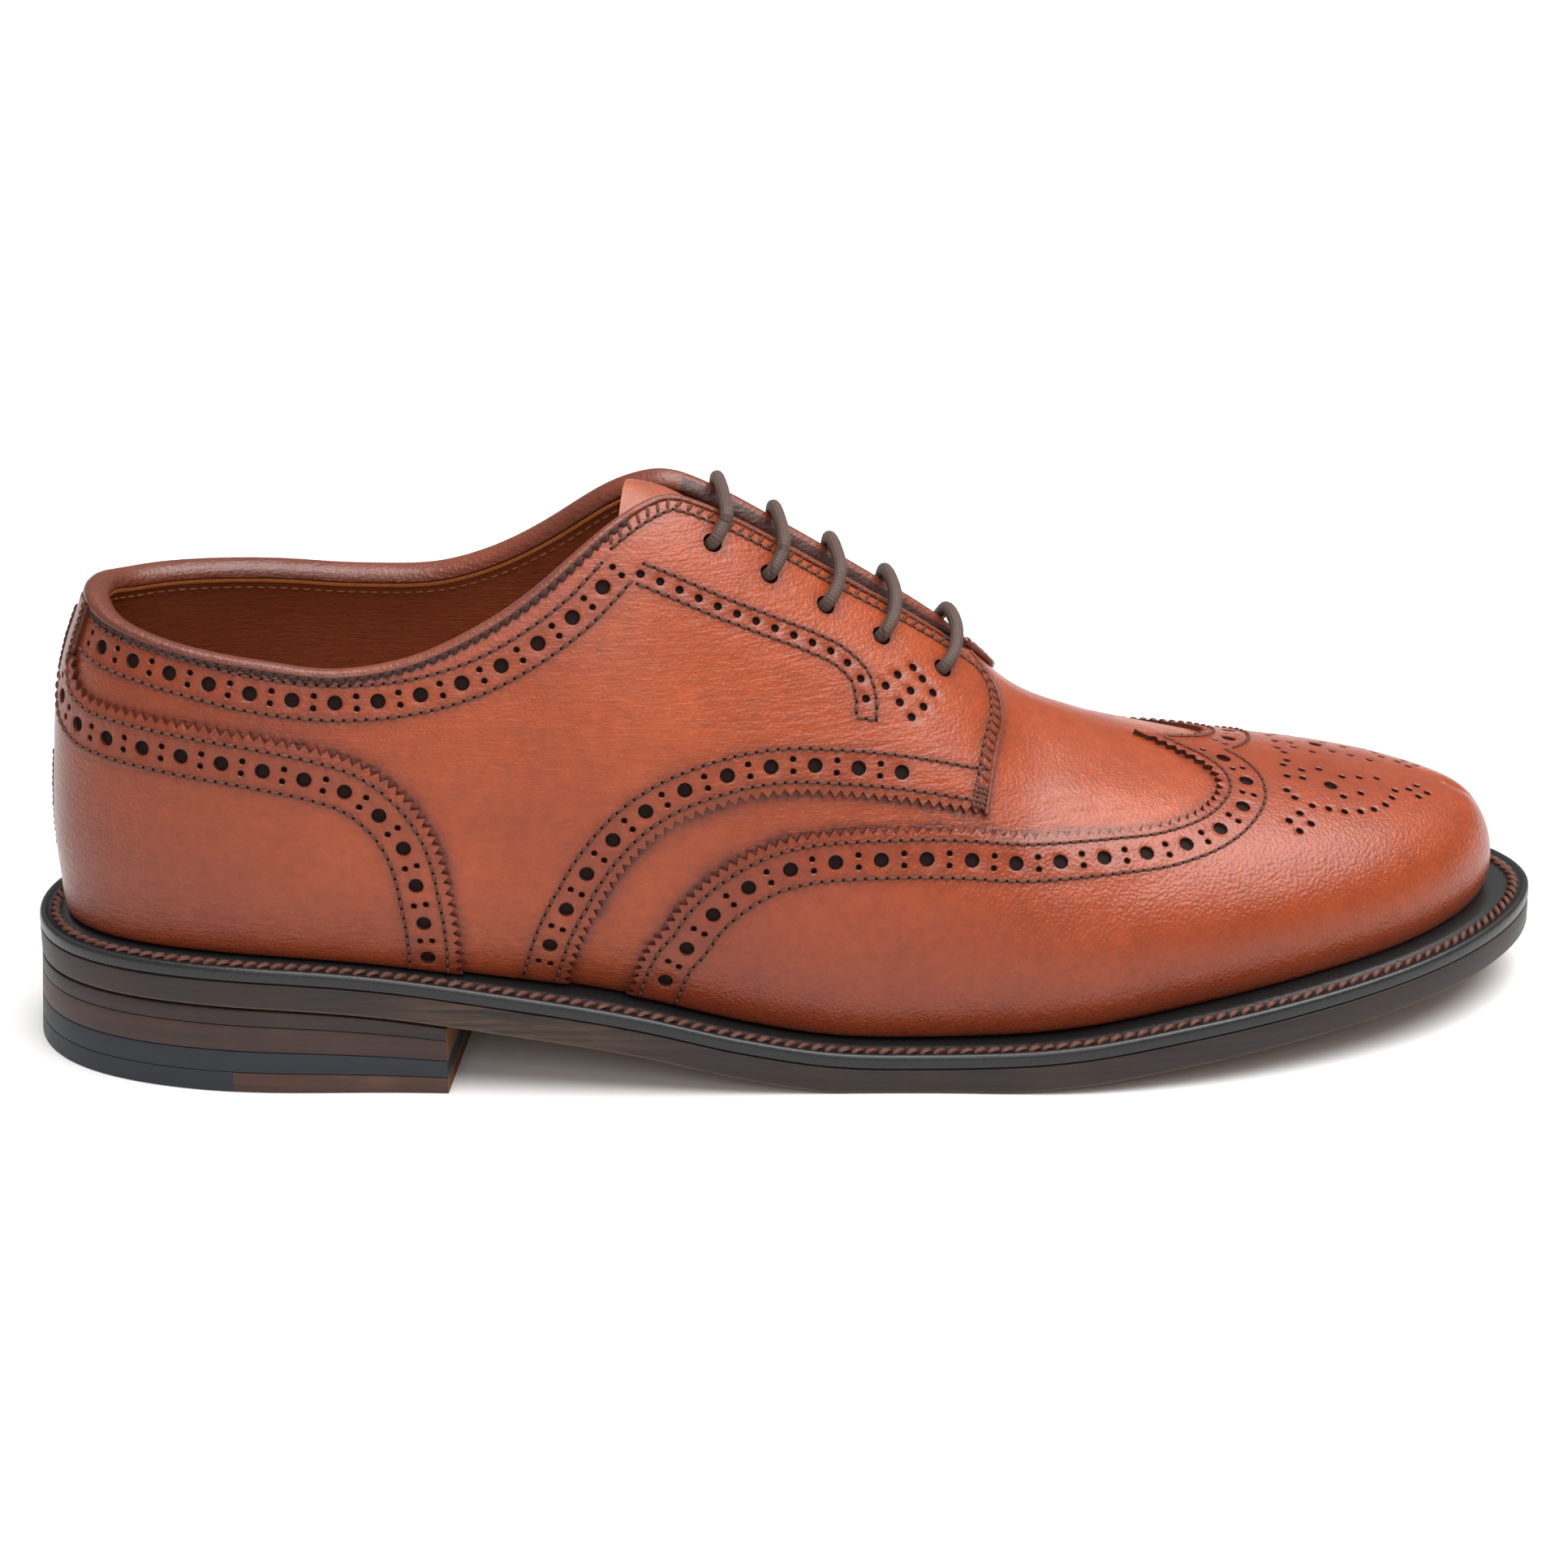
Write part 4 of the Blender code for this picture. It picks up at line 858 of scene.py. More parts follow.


# %% [markdown]
# Leather is never one colour. Noise clouds mix its browns, and the distance to the next cut edge or row,
# which each panel carries as its attribute "clear", darkens it where polish gathers; beside the edge of a
# piece laid on top, that dark band is gathered wax and painted shade cast by the edge.

# %% Calf, its darker kin, and everything else
def calf(name, light, mid, dark, gloss=0.30, grain=0.8, wrinkles=1.3, edge=0.0):
    """Noise clouds between three browns, darker beside cut edges (partly painted shade), with painted shade
    at the heel and darker near the floor; relief is pores, grain and faint wrinkles."""
    finish = Finish(name, Coat_Weight=0.16, Coat_Roughness=0.28, Specular_IOR_Level=0.34)
    clouds = finish.steps(finish.noise(24, 4, 0.62), ((0.34, 0), (0.68, 1)))
    fine = finish.noise(420, 4, 0.65)
    colour = finish.mix(clouds, (*mid, 1), (*light, 1))
    colour = finish.mix(finish.steps(fine, ((0.35, 0), (0.75, 1))) * 0.30, colour, (*dark, 1))
    if edge:
        # Darker by "clear": polish at the panel's own edges and rows, and wax with painted shade beside the
        # edge of a piece on top.
        near = finish.steps(finish.reading("clear") / 2.4, ((0.0, 1), (0.14, 0.5), (0.42, 0.17), (0.95, 0)))
        colour = finish.mix(near * edge, colour, (*dark, 1))
    # Painted shade: the leather darkens towards the back of the heel, which gets less light.
    heel = finish.steps((finish.place_along("X") + 0.156) / 0.085, ((0.0, 0.52), (1.0, 0)))
    colour = finish.mix(heel, colour, (*dark, 1))
    low = finish.steps(finish.place_along("Z") / 0.05, ((0.30, 1), (0.85, 0)))
    colour = finish.mix(low * 0.28, colour, (*dark, 1))
    pebbles = finish.pebbles(1500)
    pores = finish.noise(2600, 2, 0.5)
    lines = finish.noise(640, 4, 0.65, finish.stretched(0.25, 0.25, 1.7, (0.0, 0.25, 0.0)), 0.7)
    height = pebbles * (0.8 * grain) + pores * (0.35 * grain) + lines * wrinkles
    rough = finish.noise(90, 3) * 0.16 + fine * 0.08 + (gloss - 0.08)
    finish.show(Base_Color=colour, Roughness=rough)
    return finish.relief(height, 0.00036, 0.6).made


COGNAC = calf("cognac_calf", (0.32, 0.054, 0.010), (0.235, 0.034, 0.006), (0.06, 0.009, 0.004), edge=0.85)
# The toe calf's browns are kept darker than the cognac's as painted shade at the toe.
TOE_CALF = calf("toe_calf", (0.285, 0.045, 0.009), (0.205, 0.029, 0.0055), (0.06, 0.009, 0.004), gloss=0.27,
                grain=1.0, wrinkles=0.1, edge=0.8)
BINDING = calf("binding_calf", (0.175, 0.036, 0.014), (0.115, 0.022, 0.009), (0.03, 0.008, 0.005), gloss=0.30,
               grain=0.8, wrinkles=1.2)
# Near-black calf for the roll's inner faces along the facings: painted shade in the throat gap.
SHADED = calf("facing_inner_painted_shade", (0.055, 0.014, 0.008), (0.040, 0.010, 0.006), (0.015, 0.005, 0.004), gloss=0.45)
LINING = calf("lining_calf", (0.30, 0.066, 0.020), (0.22, 0.044, 0.013), (0.09, 0.020, 0.008), gloss=0.45,
              grain=0.5)
TONGUE = calf("tongue_calf", (0.30, 0.075, 0.034), (0.24, 0.052, 0.022), (0.12, 0.025, 0.012), gloss=0.42)


def cut_edge(name, brown, pale):
    """A cut through leather: short vertical fibres in two browns, quite dull."""
    finish = Finish(name, Specular_IOR_Level=0.08)
    fibres = finish.noise(900, 4, 0.7, finish.stretched(1, 1, 0.4))
    finish.show(Base_Color=finish.mix(fibres, (*brown, 1), (*pale, 1)), Roughness=fibres * 0.3 + 0.5)
    return finish.relief(fibres, 0.0002, 0.8).made


CUT = cut_edge("cut_edge_burnished", (0.025, 0.008, 0.006), (0.085, 0.025, 0.017))
# Near-black floors for the punched pits: painted shade inside the holes.
PIT = cut_edge("pit_floor_painted_shade", (0.005, 0.003, 0.003), (0.020, 0.008, 0.006))
RAW = cut_edge("raw_edge", (0.55, 0.15, 0.035), (0.75, 0.28, 0.08))


def stacked(name, brown, other, streak, gloss=0.36, raw=0.0):
    """Waxed edges of sole leather: long level streaks, and a paler raw line at the lowest edge."""
    finish = Finish(name, Coat_Weight=0.06, Coat_Roughness=0.3, Specular_IOR_Level=0.3)
    streaks = finish.noise(120, 5, 0.65, finish.stretched(0.25, 0.25, 7))
    spots = finish.noise(45, 4, 0.6)
    colour = finish.mix(finish.steps(streaks, ((0.35, 0), (0.68, 1))), (*brown, 1), (*other, 1))
    colour = finish.mix(finish.steps(spots, ((0.50, 0), (0.78, 0.8))), colour, (*streak, 1))
    if raw:
        patches = finish.noise(130, 5, 0.7, finish.stretched(0.35, 0.35, 5))
        rubbed = finish.reading("worn") * finish.steps(patches, ((0.44, 0), (0.66, 1))) * 0.7
        colour = finish.mix(rubbed, colour, (0.11, 0.055, 0.027, 1))
        edge = finish.steps(finish.reading("rise"), ((0.02, 1), (0.16, 0))) * finish.noise(300, 3) * raw
        colour = finish.mix(edge, colour, (0.17, 0.085, 0.05, 1))
    finish.show(Base_Color=colour, Roughness=streaks * 0.25 + gloss)
    return finish.relief(streaks * 0.6 + finish.noise(1500, 3) * 0.4, 0.00015, 0.5).made


SOLE_EDGE = stacked("sole_edge", (0.012, 0.008, 0.008), (0.026, 0.015, 0.012), (0.040, 0.020, 0.013),
                    raw=1.0)
LIFT_DARK = stacked("upper_lift", (0.014, 0.009, 0.009), (0.026, 0.015, 0.013), (0.036, 0.019, 0.015))
LIFT_BROWN = stacked("lower_lift", (0.028, 0.014, 0.011), (0.045, 0.021, 0.016), (0.055, 0.026, 0.019))
TOP_PIECE = stacked("top_piece", (0.040, 0.018, 0.012), (0.072, 0.033, 0.022), (0.12, 0.058, 0.036),
                    gloss=0.45)
UNDERSIDE = stacked("sole_underside", (0.20, 0.10, 0.055), (0.26, 0.135, 0.075), (0.12, 0.06, 0.035),
                    gloss=0.4)
BREAST = cut_edge("heel_breast", (0.055, 0.025, 0.014), (0.26, 0.115, 0.05))


def plain(name, colour, other, rough, scale=700, depth=0.0001, coat=0.0, shine=0.3):
    """Two close tones in fine noise, with the same noise as relief."""
    finish = Finish(name, Coat_Weight=coat, Coat_Roughness=0.2, Specular_IOR_Level=shine)
    speck = finish.noise(scale, 4, 0.65)
    finish.show(Base_Color=finish.mix(speck, (*colour, 1), (*other, 1)), Roughness=speck * 0.2 + rough)
    return finish.relief(speck, depth, 0.6).made


WELT_BLACK = plain("welt_black", (0.004, 0.004, 0.005), (0.016, 0.015, 0.015), 0.26, 1100, 0.0002, coat=0.2)
RUBBER = plain("heel_rubber", (0.012, 0.014, 0.019), (0.020, 0.022, 0.028), 0.38, 300, 0.00004)
THREAD = plain("brown_thread", (0.045, 0.014, 0.008), (0.125, 0.038, 0.021), 0.5, 2500, 0.0001)
TAN_THREAD = plain("tan_thread", (0.20, 0.07, 0.02), (0.33, 0.13, 0.045), 0.55, 2500, 0.0001)
DARK_THREAD = plain("dark_thread", (0.016, 0.006, 0.005), (0.048, 0.015, 0.010), 0.5, 2500, 0.0001)
WELT_THREAD = plain("welt_thread", (0.035, 0.013, 0.009), (0.15, 0.055, 0.033), 0.5, 1500, 0.0003)
# Near-black dots for the needle holes: painted shade inside them.
PRICK = plain("needle_hole", (0.008, 0.004, 0.003), (0.015, 0.007, 0.005), 0.7, shine=0.02)


def waxed_cotton():
    """A round braid: two families of strands that cross along the lace's own length and turn."""
    finish = Finish("waxed_cotton", Specular_IOR_Level=0.3)
    along, turn = finish.reading("along"), finish.reading("turn")
    one = finish.add("ShaderNodeMath", {"operation": "SINE"}, {0: along * 5200 + turn * 6.0})
    two = finish.add("ShaderNodeMath", {"operation": "SINE"}, {0: along * 5200 - turn * 6.0})
    braid = (one * two) * 0.5 + 0.5
    fuzz = finish.noise(1800, 4, 0.7)
    colour = finish.mix(braid * 0.5 + fuzz * 0.5, (0.014, 0.009, 0.008, 1), (0.125, 0.075, 0.058, 1))
    finish.show(Base_Color=colour, Roughness=fuzz * 0.25 + 0.5)
    return finish.relief(braid * 0.6 + fuzz * 0.4, 0.00022, 0.8).made


LACE = waxed_cotton()
print("finishes:", len(bpy.data.materials))

# %% [markdown]
# ## The upper
# The vamp and the inner layer of the quarters are one shell that hugs the last. It is open at the collar,
# the throat and the bottom. Its face is calf and its back is lining leather.

# %% The base shell
EYELET_HOLE = 2.0 * MM
OVERLAY = PANEL_LEATHER + 0.05 * MM
OVERLAY_LOOKS = [COGNAC, CUT, PIT, CUT]
sides = {"lateral": -1, "medial": 1}
bottom_line = np.stack([np.linspace(-1, 1, 420), np.zeros(420)], -1)
toe_line = np.stack([np.ones(24), np.linspace(0, 1, 25)[1:]], -1)
ridge_line = np.stack([np.linspace(1, THROAT_END, 90)[1:], np.ones(89)], -1)
half_outline = np.r_[toe_line, ridge_line, opening_line(1, THROAT_END - 0.0005, THROAT_ROUND, 8),
                     opening_line(1, THROAT_ROUND, FACING_TOP, 40)[1:],
                     opening_line(1, FACING_TOP, 0.0, 150)[1:]]
mirrored = [(-around, opening_up(-around) if up < 0.9999 and around < THROAT_END - 0.0004 else up)
            for around, up in half_outline[::-1][1:-1]]
upper_outline = np.r_[bottom_line, half_outline, np.array(mirrored)]
eyelet_holes = [((side * a, u), EYELET_HOLE) for side in sides.values() for a, u in EYELETS]
overlaid = []
for side in sides.values():
    overlaid += [pinked(chart_line(QUARTER_LOWER, side), -side), pinked(chart_line(WING_EDGE, side), -side)]
    overlaid.append(spaced(chart_line(QUARTER_FRONT, side, 60), 1.1 * MM))
upper = panel("calf_upper", upper_outline, [], eyelet_holes, PANEL_LEATHER, LINING_FACE - PANEL_LEATHER,
              [COGNAC, CUT, PIT, LINING], pitch=1.7 * MM, marks=overlaid, seam="toe")
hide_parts("upper")

# %% [markdown]
# ## Quarters, counter and wing cap
# The overlays are cut with pinking shears and punched before they are sewn on. One band is always the same:
# a row of stitches, a row of holes with pairs of small ones between, and a second row of stitches.

# %% Bands: stitch rows and hole rows at set distances inside an edge
WING_BAND = (2.7 * MM, 6.5 * MM, 10.1 * MM)
QUARTER_BAND = (2.7 * MM, 6.0 * MM, 9.3 * MM)
COUNTER_BAND = (2.9 * MM, 6.8 * MM, 10.5 * MM)


def band(edge, inward, widths, depth, pitch, start, trim=0):
    """The two stitch rows and the punched row of one band."""
    first, middle, second = (beside(edge, inward * width) for width in widths)
    for line in (first, second):
        stitch_row(line, depth=depth)
    return hole_row(middle, pitch, start, trim), [first, second]


def sew_line(kind, line, depth, pitch, length, radius, **how):
    """Stitches along a chart line, without needle holes."""
    sew(kind, *on_leather(line, depth), pitch, length, radius, **how)


# %% Quarters
TOP_ROWS = (3.3 * MM, -3.4 * MM)
FACING_ROWS = (2.1 * MM, -2.1 * MM)
CORNER_ROWS = (1.1 * MM, 2.0 * MM, 2.9 * MM)
FACING_HOLE = 0.85 * MM
DIAMOND_HOLE = 0.9 * MM
BACK_GAP = 0.003
for name, side in sides.items():
    top = beside(opening_line(side, BACK_GAP, FACING_TOP, 150), -side * 0.5 * MM)
    facing = beside(opening_line(side, FACING_TOP + 0.004, THROAT_ROUND, 50), -side * 0.3 * MM)
    front = chart_line(QUARTER_FRONT, side, 60)
    lower = chart_line(QUARTER_LOWER, side)
    teeth = pinked(lower, -side)
    feather = np.stack([side * np.linspace(0.400, BACK_GAP, 150), np.full(150, 0.006)], -1)
    back = np.stack([np.full(40, side * BACK_GAP), np.linspace(0.012, top[0, 1], 41)[:-1]], -1)
    outline = np.r_[top[:-2], facing, front, teeth[1:], feather[1:], back]
    pits, rows = band(lower, -side, QUARTER_BAND, 0.0, 8.7 * MM, 17.7 * MM)
    line = chart_line(TOP_BAND, side)
    pits += [hole for hole in hole_row(line, 8.42 * MM, 7 * MM) if abs(hole[0][0]) > DOG_TAIL_HALF + 0.012]
    tail = line[np.abs(line[:, 0]) > DOG_TAIL_HALF]
    small_line = chart_line(FACING_BAND, side)
    pits += [(p, FACING_HOLE) for p in spaced(small_line, 4.0 * MM)[:-1]]
    for middle, offsets in ((tail, TOP_ROWS), (small_line, FACING_ROWS)):
        for offset in offsets:
            rows.append(beside(middle, offset * side))
            stitch_row(rows[-1])
    ends = [beside(small_line[-2:], offset * side)[-1] for offset in FACING_ROWS]
    stitch_row(np.linspace(*ends, 12))
    pits += [((side * a, u), DIAMOND_HOLE) for a, u in DIAMOND]
    facing_edge = np.r_[opening_line(side, 0.42, THROAT_ROUND, 70), front[3:-2]]
    rows.append(beside(facing_edge, -side * 3.1 * MM))
    stitch_row(rows[-1])
    sew_line("thread", beside(facing_edge, -side * 1.7 * MM), 0.0, 2.3 * MM, 2.2 * MM, THREAD_RADIUS,
             lean=1.1, wobble=0.2)
    for inset in CORNER_ROWS:
        sew_line("thread", beside(front[-9:-1], -side * inset), 0.0, 1.0 * MM, 1.6 * MM, 0.42 * MM,
                 lean=1.2, wobble=0.4)
    eyelets = [((side * a, u), EYELET_HOLE) for a, u in EYELETS]
    quarter = panel("quarter_calf_" + name, outline, pits, eyelets, 0.0, OVERLAY, OVERLAY_LOOKS, rows=rows,
                    marks=[pinked(chart_line(COUNTER_EDGE, side), side)])
    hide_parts("quarter_" + name)

# %% [markdown]
# The heel counter goes round the back on top of both quarters, one panel's thickness further out. Its tab
# climbs the back seam to the collar and is sewn down at both sides.

# %% Heel counter
teeth = pinked(chart_line(COUNTER_EDGE, 1), 1)
tail_top = beside(opening_line(1, 0.0, DOG_TAIL_HALF, 14), -1.1 * MM)
tail_side = np.stack([np.full(12, DOG_TAIL_HALF), np.linspace(teeth[-1, 1], tail_top[-1, 1], 13)[1:]], -1)
half = np.r_[teeth, tail_side, tail_top[::-1][1:]]
half[-1, 0] = 0
reach = COUNTER_EDGE[0][0]
feather = np.stack([np.linspace(-reach, reach, 230)[1:-1], np.full(228, 0.008)], -1)
outline = np.r_[half, (half * [-1, 1])[::-1][1:], feather]
pits, rows = [], []
for side in sides.values():
    more, lines = band(chart_line(COUNTER_EDGE, side), side, COUNTER_BAND, -PANEL_LEATHER, 8.25 * MM,
                       4 * MM, 1)
    pits += more
    rows += lines
    tab = np.stack([np.full(30, side * (DOG_TAIL_HALF - 0.007)), np.linspace(0.50, tail_top[-1, 1], 30)], -1)
    sew_line("dark", tab, -PANEL_LEATHER, 1.5 * MM, 1.9 * MM, 0.45 * MM, lean=1.1, wobble=0.3)
counter = panel("counter_calf", outline, [p for p in pits if abs(p[0][0]) > 0.006], [], -PANEL_LEATHER,
                OVERLAY, OVERLAY_LOOKS, rows=rows)
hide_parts("heel_counter")

# %% [markdown]
# Both halves of the wing cap are one strip of the chart that runs across the toe, where around passes -1.
# The medallion is punched from a plan, so its places are looked up from above.

# %% Wing cap
near_teeth = pinked(chart_line(WING_EDGE, -1), 1)
near_teeth = near_teeth[near_teeth[:, 1] < 0.996]
near_side = np.r_[near_teeth, np.stack([np.linspace(-WING_EDGE[-1][0], -1, 70), np.ones(70)], -1)]
far_side = (near_side * [-1, 1] - [2, 0])[::-1]
reach = WING_EDGE[0][0]
feather = np.stack([np.linspace(-2 + reach, -reach, 330)[1:-1], np.full(328, 0.006)], -1)
outline = np.r_[near_side, far_side[1:], feather]
pits, rows = [], []
for side in sides.values():
    more, lines = band(chart_line(WING_EDGE, side), -side, WING_BAND, 0.0, 9.05 * MM, 6.2 * MM)
    shift = np.array([0 if side < 0 else -2, 0])
    pits += [(p + shift, r) for p, r in more if p[1] < 0.97]
    rows += [line[(line[:, 1] > 0.0) & (line[:, 1] <= 1.0)] + shift for line in lines]
from_heel, aside, radius = np.array(MEDALLION).T * MM
places = places_in_plan(from_heel, middle_y(from_heel) - aside)
pits += [*zip(places, radius), *zip(places * [-1, 1] - [2, 0], radius)]
wing = panel("wing_calf", outline, pits, [], 0.0, OVERLAY, [TOE_CALF, CUT, PIT, CUT], rows=rows, seam="ridge")
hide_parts("wing_cap")

# %% [markdown]
# ## Collar binding and rolled edges
# A strip folded over the topline makes a round roll, sewn down with dark thread. It grows finer where it
# turns the corner to the facings. It is one profile, carried along the edge while it changes size.

# %% The roll round the collar
def frames_on(line):
    """Path points of a chart line with their outward normals and the upward directions square to both."""
    points = last_points(line[:, 0], line[:, 1])
    outward = last_normals(line[:, 0], line[:, 1])
    upward = np.cross(outward, tangents(points))
    upward /= np.linalg.norm(upward, axis=1, keepdims=True)
    return points, outward, upward * np.sign(upward[:, 2:3])


def eased(values, reach):
    """Each place becomes the mean of its neighbours within the reach; the ends stay."""
    padded = np.pad(values, ((reach, reach), (0, 0)), mode="reflect", reflect_type="odd")
    return np.stack([padded[k:len(values) + k] for k in range(2 * reach + 1)]).mean(0)


halves = [np.r_[opening_line(side, 0.575, FACING_TOP, 90)[:-1], opening_line(side, FACING_TOP, 0.0, 150)]
          for side in sides.values()]
opening = eased(spaced(np.r_[halves[0][:-1], halves[1][::-1]], 1.0 * MM), 3)
points, outward, upward = frames_on(opening)
COLLAR_ROLL = np.array([(0.0, -0.95), (0.75, -0.8), (0.95, -0.4), (0.9, 0.2), (0.55, 0.85), (-0.05, 1.3),
                        (-1.0, 1.55), (-2.2, 1.55), (-3.3, 1.25), (-4.15, 0.6), (-4.5, -0.1), (-4.35, -0.6),
                        (-3.9, -0.85), (-3.7, -0.6), (-3.6, -0.25), (-0.2, -0.25)]) * MM
SLIM_ROLL = COLLAR_ROLL.copy()
SLIM_ROLL[:6] = np.array([(0.0, -0.35), (0.6, -0.3), (0.82, 0.0), (0.8, 0.5), (0.5, 1.0), (-0.05, 1.35)]) * MM
FACING_ROLL = np.array([(0.05, -0.75), (0.35, -0.6), (0.45, -0.3), (0.42, 0.0), (0.28, 0.35), (-0.2, 0.65),
                        (-1.2, 0.85), (-2.4, 0.85), (-3.2, 0.7), (-3.75, 0.35), (-4.0, -0.1), (-4.0, -0.7),
                        (-3.85, -1.0), (-3.7, -0.8), (-3.6, -0.25), (-0.2, -0.25)]) * MM


def eased_share(start, width):
    """Zero before the start, one after the width, and a soft step between them, for each path point."""
    share = np.clip((np.abs(opening[:, 0]) - start) / width, 0, 1)
    return share**2 * (3 - 2 * share)


slim, fine = eased_share(0.05, 0.08), eased_share(0.40, 0.06)
profile = COLLAR_ROLL + (SLIM_ROLL - COLLAR_ROLL) * slim[:, None, None]
profile += (FACING_ROLL - profile) * fine[:, None, None]
# The roll's inner faces along the facings take the near-black calf: painted shade in the throat gap.
shaded = (np.arange(len(COLLAR_ROLL)) > 5) & (np.abs(opening[:-1, :1]) > 0.455)
ends = np.minimum(np.arange(len(points)), np.arange(len(points))[::-1]) / 6
roll = carried("collar_roll", points, (outward, upward), profile, [BINDING, SHADED],
               materials=shaded.astype(int), size=np.clip(0.35 + 0.65 * ends, 0, 1))
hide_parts("collar_binding")
collar = np.abs(opening[:, 0]) < FACING_TOP
points, outward, upward = points[collar], outward[collar], upward[collar]
low = points - upward * (1.15 - 0.55 * slim[collar])[:, None] * MM + outward * 0.15 * MM
sewn = np.abs(opening[collar, 0]) < 0.432
low, along_out, along_up = low[sewn], outward[sewn], upward[sewn]
sew("dark", low, along_out, 2.3 * MM, 2.6 * MM, 0.45 * MM, wobble=0.06)
sew("dark", low - along_up * 0.5 * MM, along_out, 2.3 * MM, 1.5 * MM, 0.33 * MM, lean=0.25, wobble=0.2)

# %% The raw edge of the lining and its stitch row inside the collar
RAW_STRIP = np.array([(-3.7, -1.6), (-3.7, -0.75), (-4.45, -0.75), (-4.35, -1.5)]) * MM
raw = carried("lining_raw_edge", points, (outward, upward), RAW_STRIP, [RAW])
inner = points - upward * 3.3 * MM - outward * 3.85 * MM
sew("lining", inner, -outward, 2.3 * MM, 1.8 * MM, 0.25 * MM)

# %% The finer roll of the quarters' front edges
FRONT_ROLL = np.array([(0.05, -0.5), (0.22, -0.35), (0.28, 0.0), (0.15, 0.3), (-0.25, 0.5), (-0.75, 0.45),
                       (-1.08, 0.1), (-1.08, -0.3), (-0.2, -0.3)]) * MM
for name, side in sides.items():
    points, outward, _ = frames_on(chart_line(QUARTER_FRONT, side, 60))
    forward = np.cross(outward, tangents(points))
    forward *= np.sign(forward[:, :1])
    rolled = carried("front_roll_" + name, points, (outward, forward), FRONT_ROLL, [BINDING])

# %% The threads of the upper, gathered into joined meshes
def joined(name, groups, shape_faces, look):
    """Many copies of one small shape in a single mesh: each copy's faces shifted by its own first point."""
    every = np.concatenate(groups)
    count = every.shape[1]
    faces = [[base + i for i in face] for base in range(0, len(every) * count, count) for face in shape_faces]
    piece = add_piece(name, every.reshape(-1, 3), faces, [look], sharp=60)


PRICK_FACES = [[5, 4, 3, 2, 1, 0]] + [[i, (i + 1) % 6, 6] for i in range(6)]
back_line = np.stack([np.full(60, 0.0001), np.linspace(0.12, 0.58, 60)], -1)
for start, end in ((0.13, 0.33), (0.45, 0.58)):
    part = back_line[(back_line[:, 1] > start) & (back_line[:, 1] < end)]
    sew_line("dark", part, -PANEL_LEATHER, 1.4 * MM, 2.4 * MM, 0.42 * MM, lean=1.25, wobble=0.3)
joined("upper_stitches", threads["thread"], STITCH_FACES, THREAD)
joined("lining_stitches", threads["lining"], STITCH_FACES, TAN_THREAD)
joined("upper_dark_stitches", threads["dark"], STITCH_FACES, DARK_THREAD)
joined("needle_holes", pricks, PRICK_FACES, PRICK)

# %% [markdown]
# ## Tongue and lace
# The tongue is a leather sheet under the facings. The waxed lace runs straight across the front through
# five pairs of eyelets, and from one pair to the next below the facings. Its ends stop at the top eyelets.

# %% Tongue
LACE_RADIUS = 1.35 * MM
TONGUE_THICKNESS = 1.5 * MM
TONGUE_START, TONGUE_END = 0.426, 0.606


def tongue_inset(around):
    """The sheet lies deeper where the lace runs above it."""
    under_lace = LINING_FACE + 1.5 * MM + 2 * LACE_RADIUS
    under_roll = LINING_FACE + 1.8 * MM + PANEL_LEATHER
    return smooth((0.41, 0.44, 0.460, 0.60), (under_roll, under_roll, under_lace, under_lace), around)


def sheet_between(name, top, bottom, looks):
    """Two equal grids of points joined round their rims."""
    rows, columns = top.shape[:2]
    grid = np.arange(rows * columns).reshape(rows, columns)
    quads = np.stack([grid[:-1, :-1], grid[1:, :-1], grid[1:, 1:], grid[:-1, 1:]], -1).reshape(-1, 4)
    rim = np.r_[grid[0, :-1], grid[:-1, -1], grid[-1, :0:-1], grid[:0:-1, 0]]
    after = np.roll(rim, -1)
    walls = np.stack([rim, after, after + rows * columns, rim + rows * columns], -1)
    index = [0] * len(quads) + [1] * len(walls) + [0] * len(quads)
    points = np.r_[top.reshape(-1, 3), bottom.reshape(-1, 3)]
    faces = np.r_[quads, walls, quads[:, ::-1] + rows * columns].tolist()
    return add_piece(name, points, faces, looks, index)


arounds, across = np.linspace(TONGUE_START, TONGUE_END, 70), np.linspace(-1, 1, 61)
grid_a, grid_t = np.meshgrid(arounds, across, indexing="ij")
grid_a = grid_a + 0.010 * (grid_t + 1) / 2 * (TONGUE_END - grid_a) / (TONGUE_END - TONGUE_START)
reach = 0.27 - 0.05 * (grid_a - TONGUE_START) / (TONGUE_END - TONGUE_START)
reach = reach * np.where(grid_t > 0, np.interp(grid_a, (0.43, 0.50), (0.30, 1.0)), 1.0)
grid_u = 1 - reach * np.abs(grid_t)
ruffle = 0.25 * MM * np.sin(grid_a * 210 + grid_t * 2.3) * np.exp(-(grid_t / 0.5) ** 2)
side_a = np.where(grid_t < 0, -grid_a, grid_a)
inset = tongue_inset(grid_a)
sheet_top = last_points(side_a, grid_u, inset) + ruffle[..., None] * [0, 0, 1]
sheet_bottom = last_points(side_a, grid_u, inset + TONGUE_THICKNESS)
tongue = sheet_between("tongue_calf", sheet_top, sheet_bottom, [TONGUE, RAW])
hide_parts("tongue")

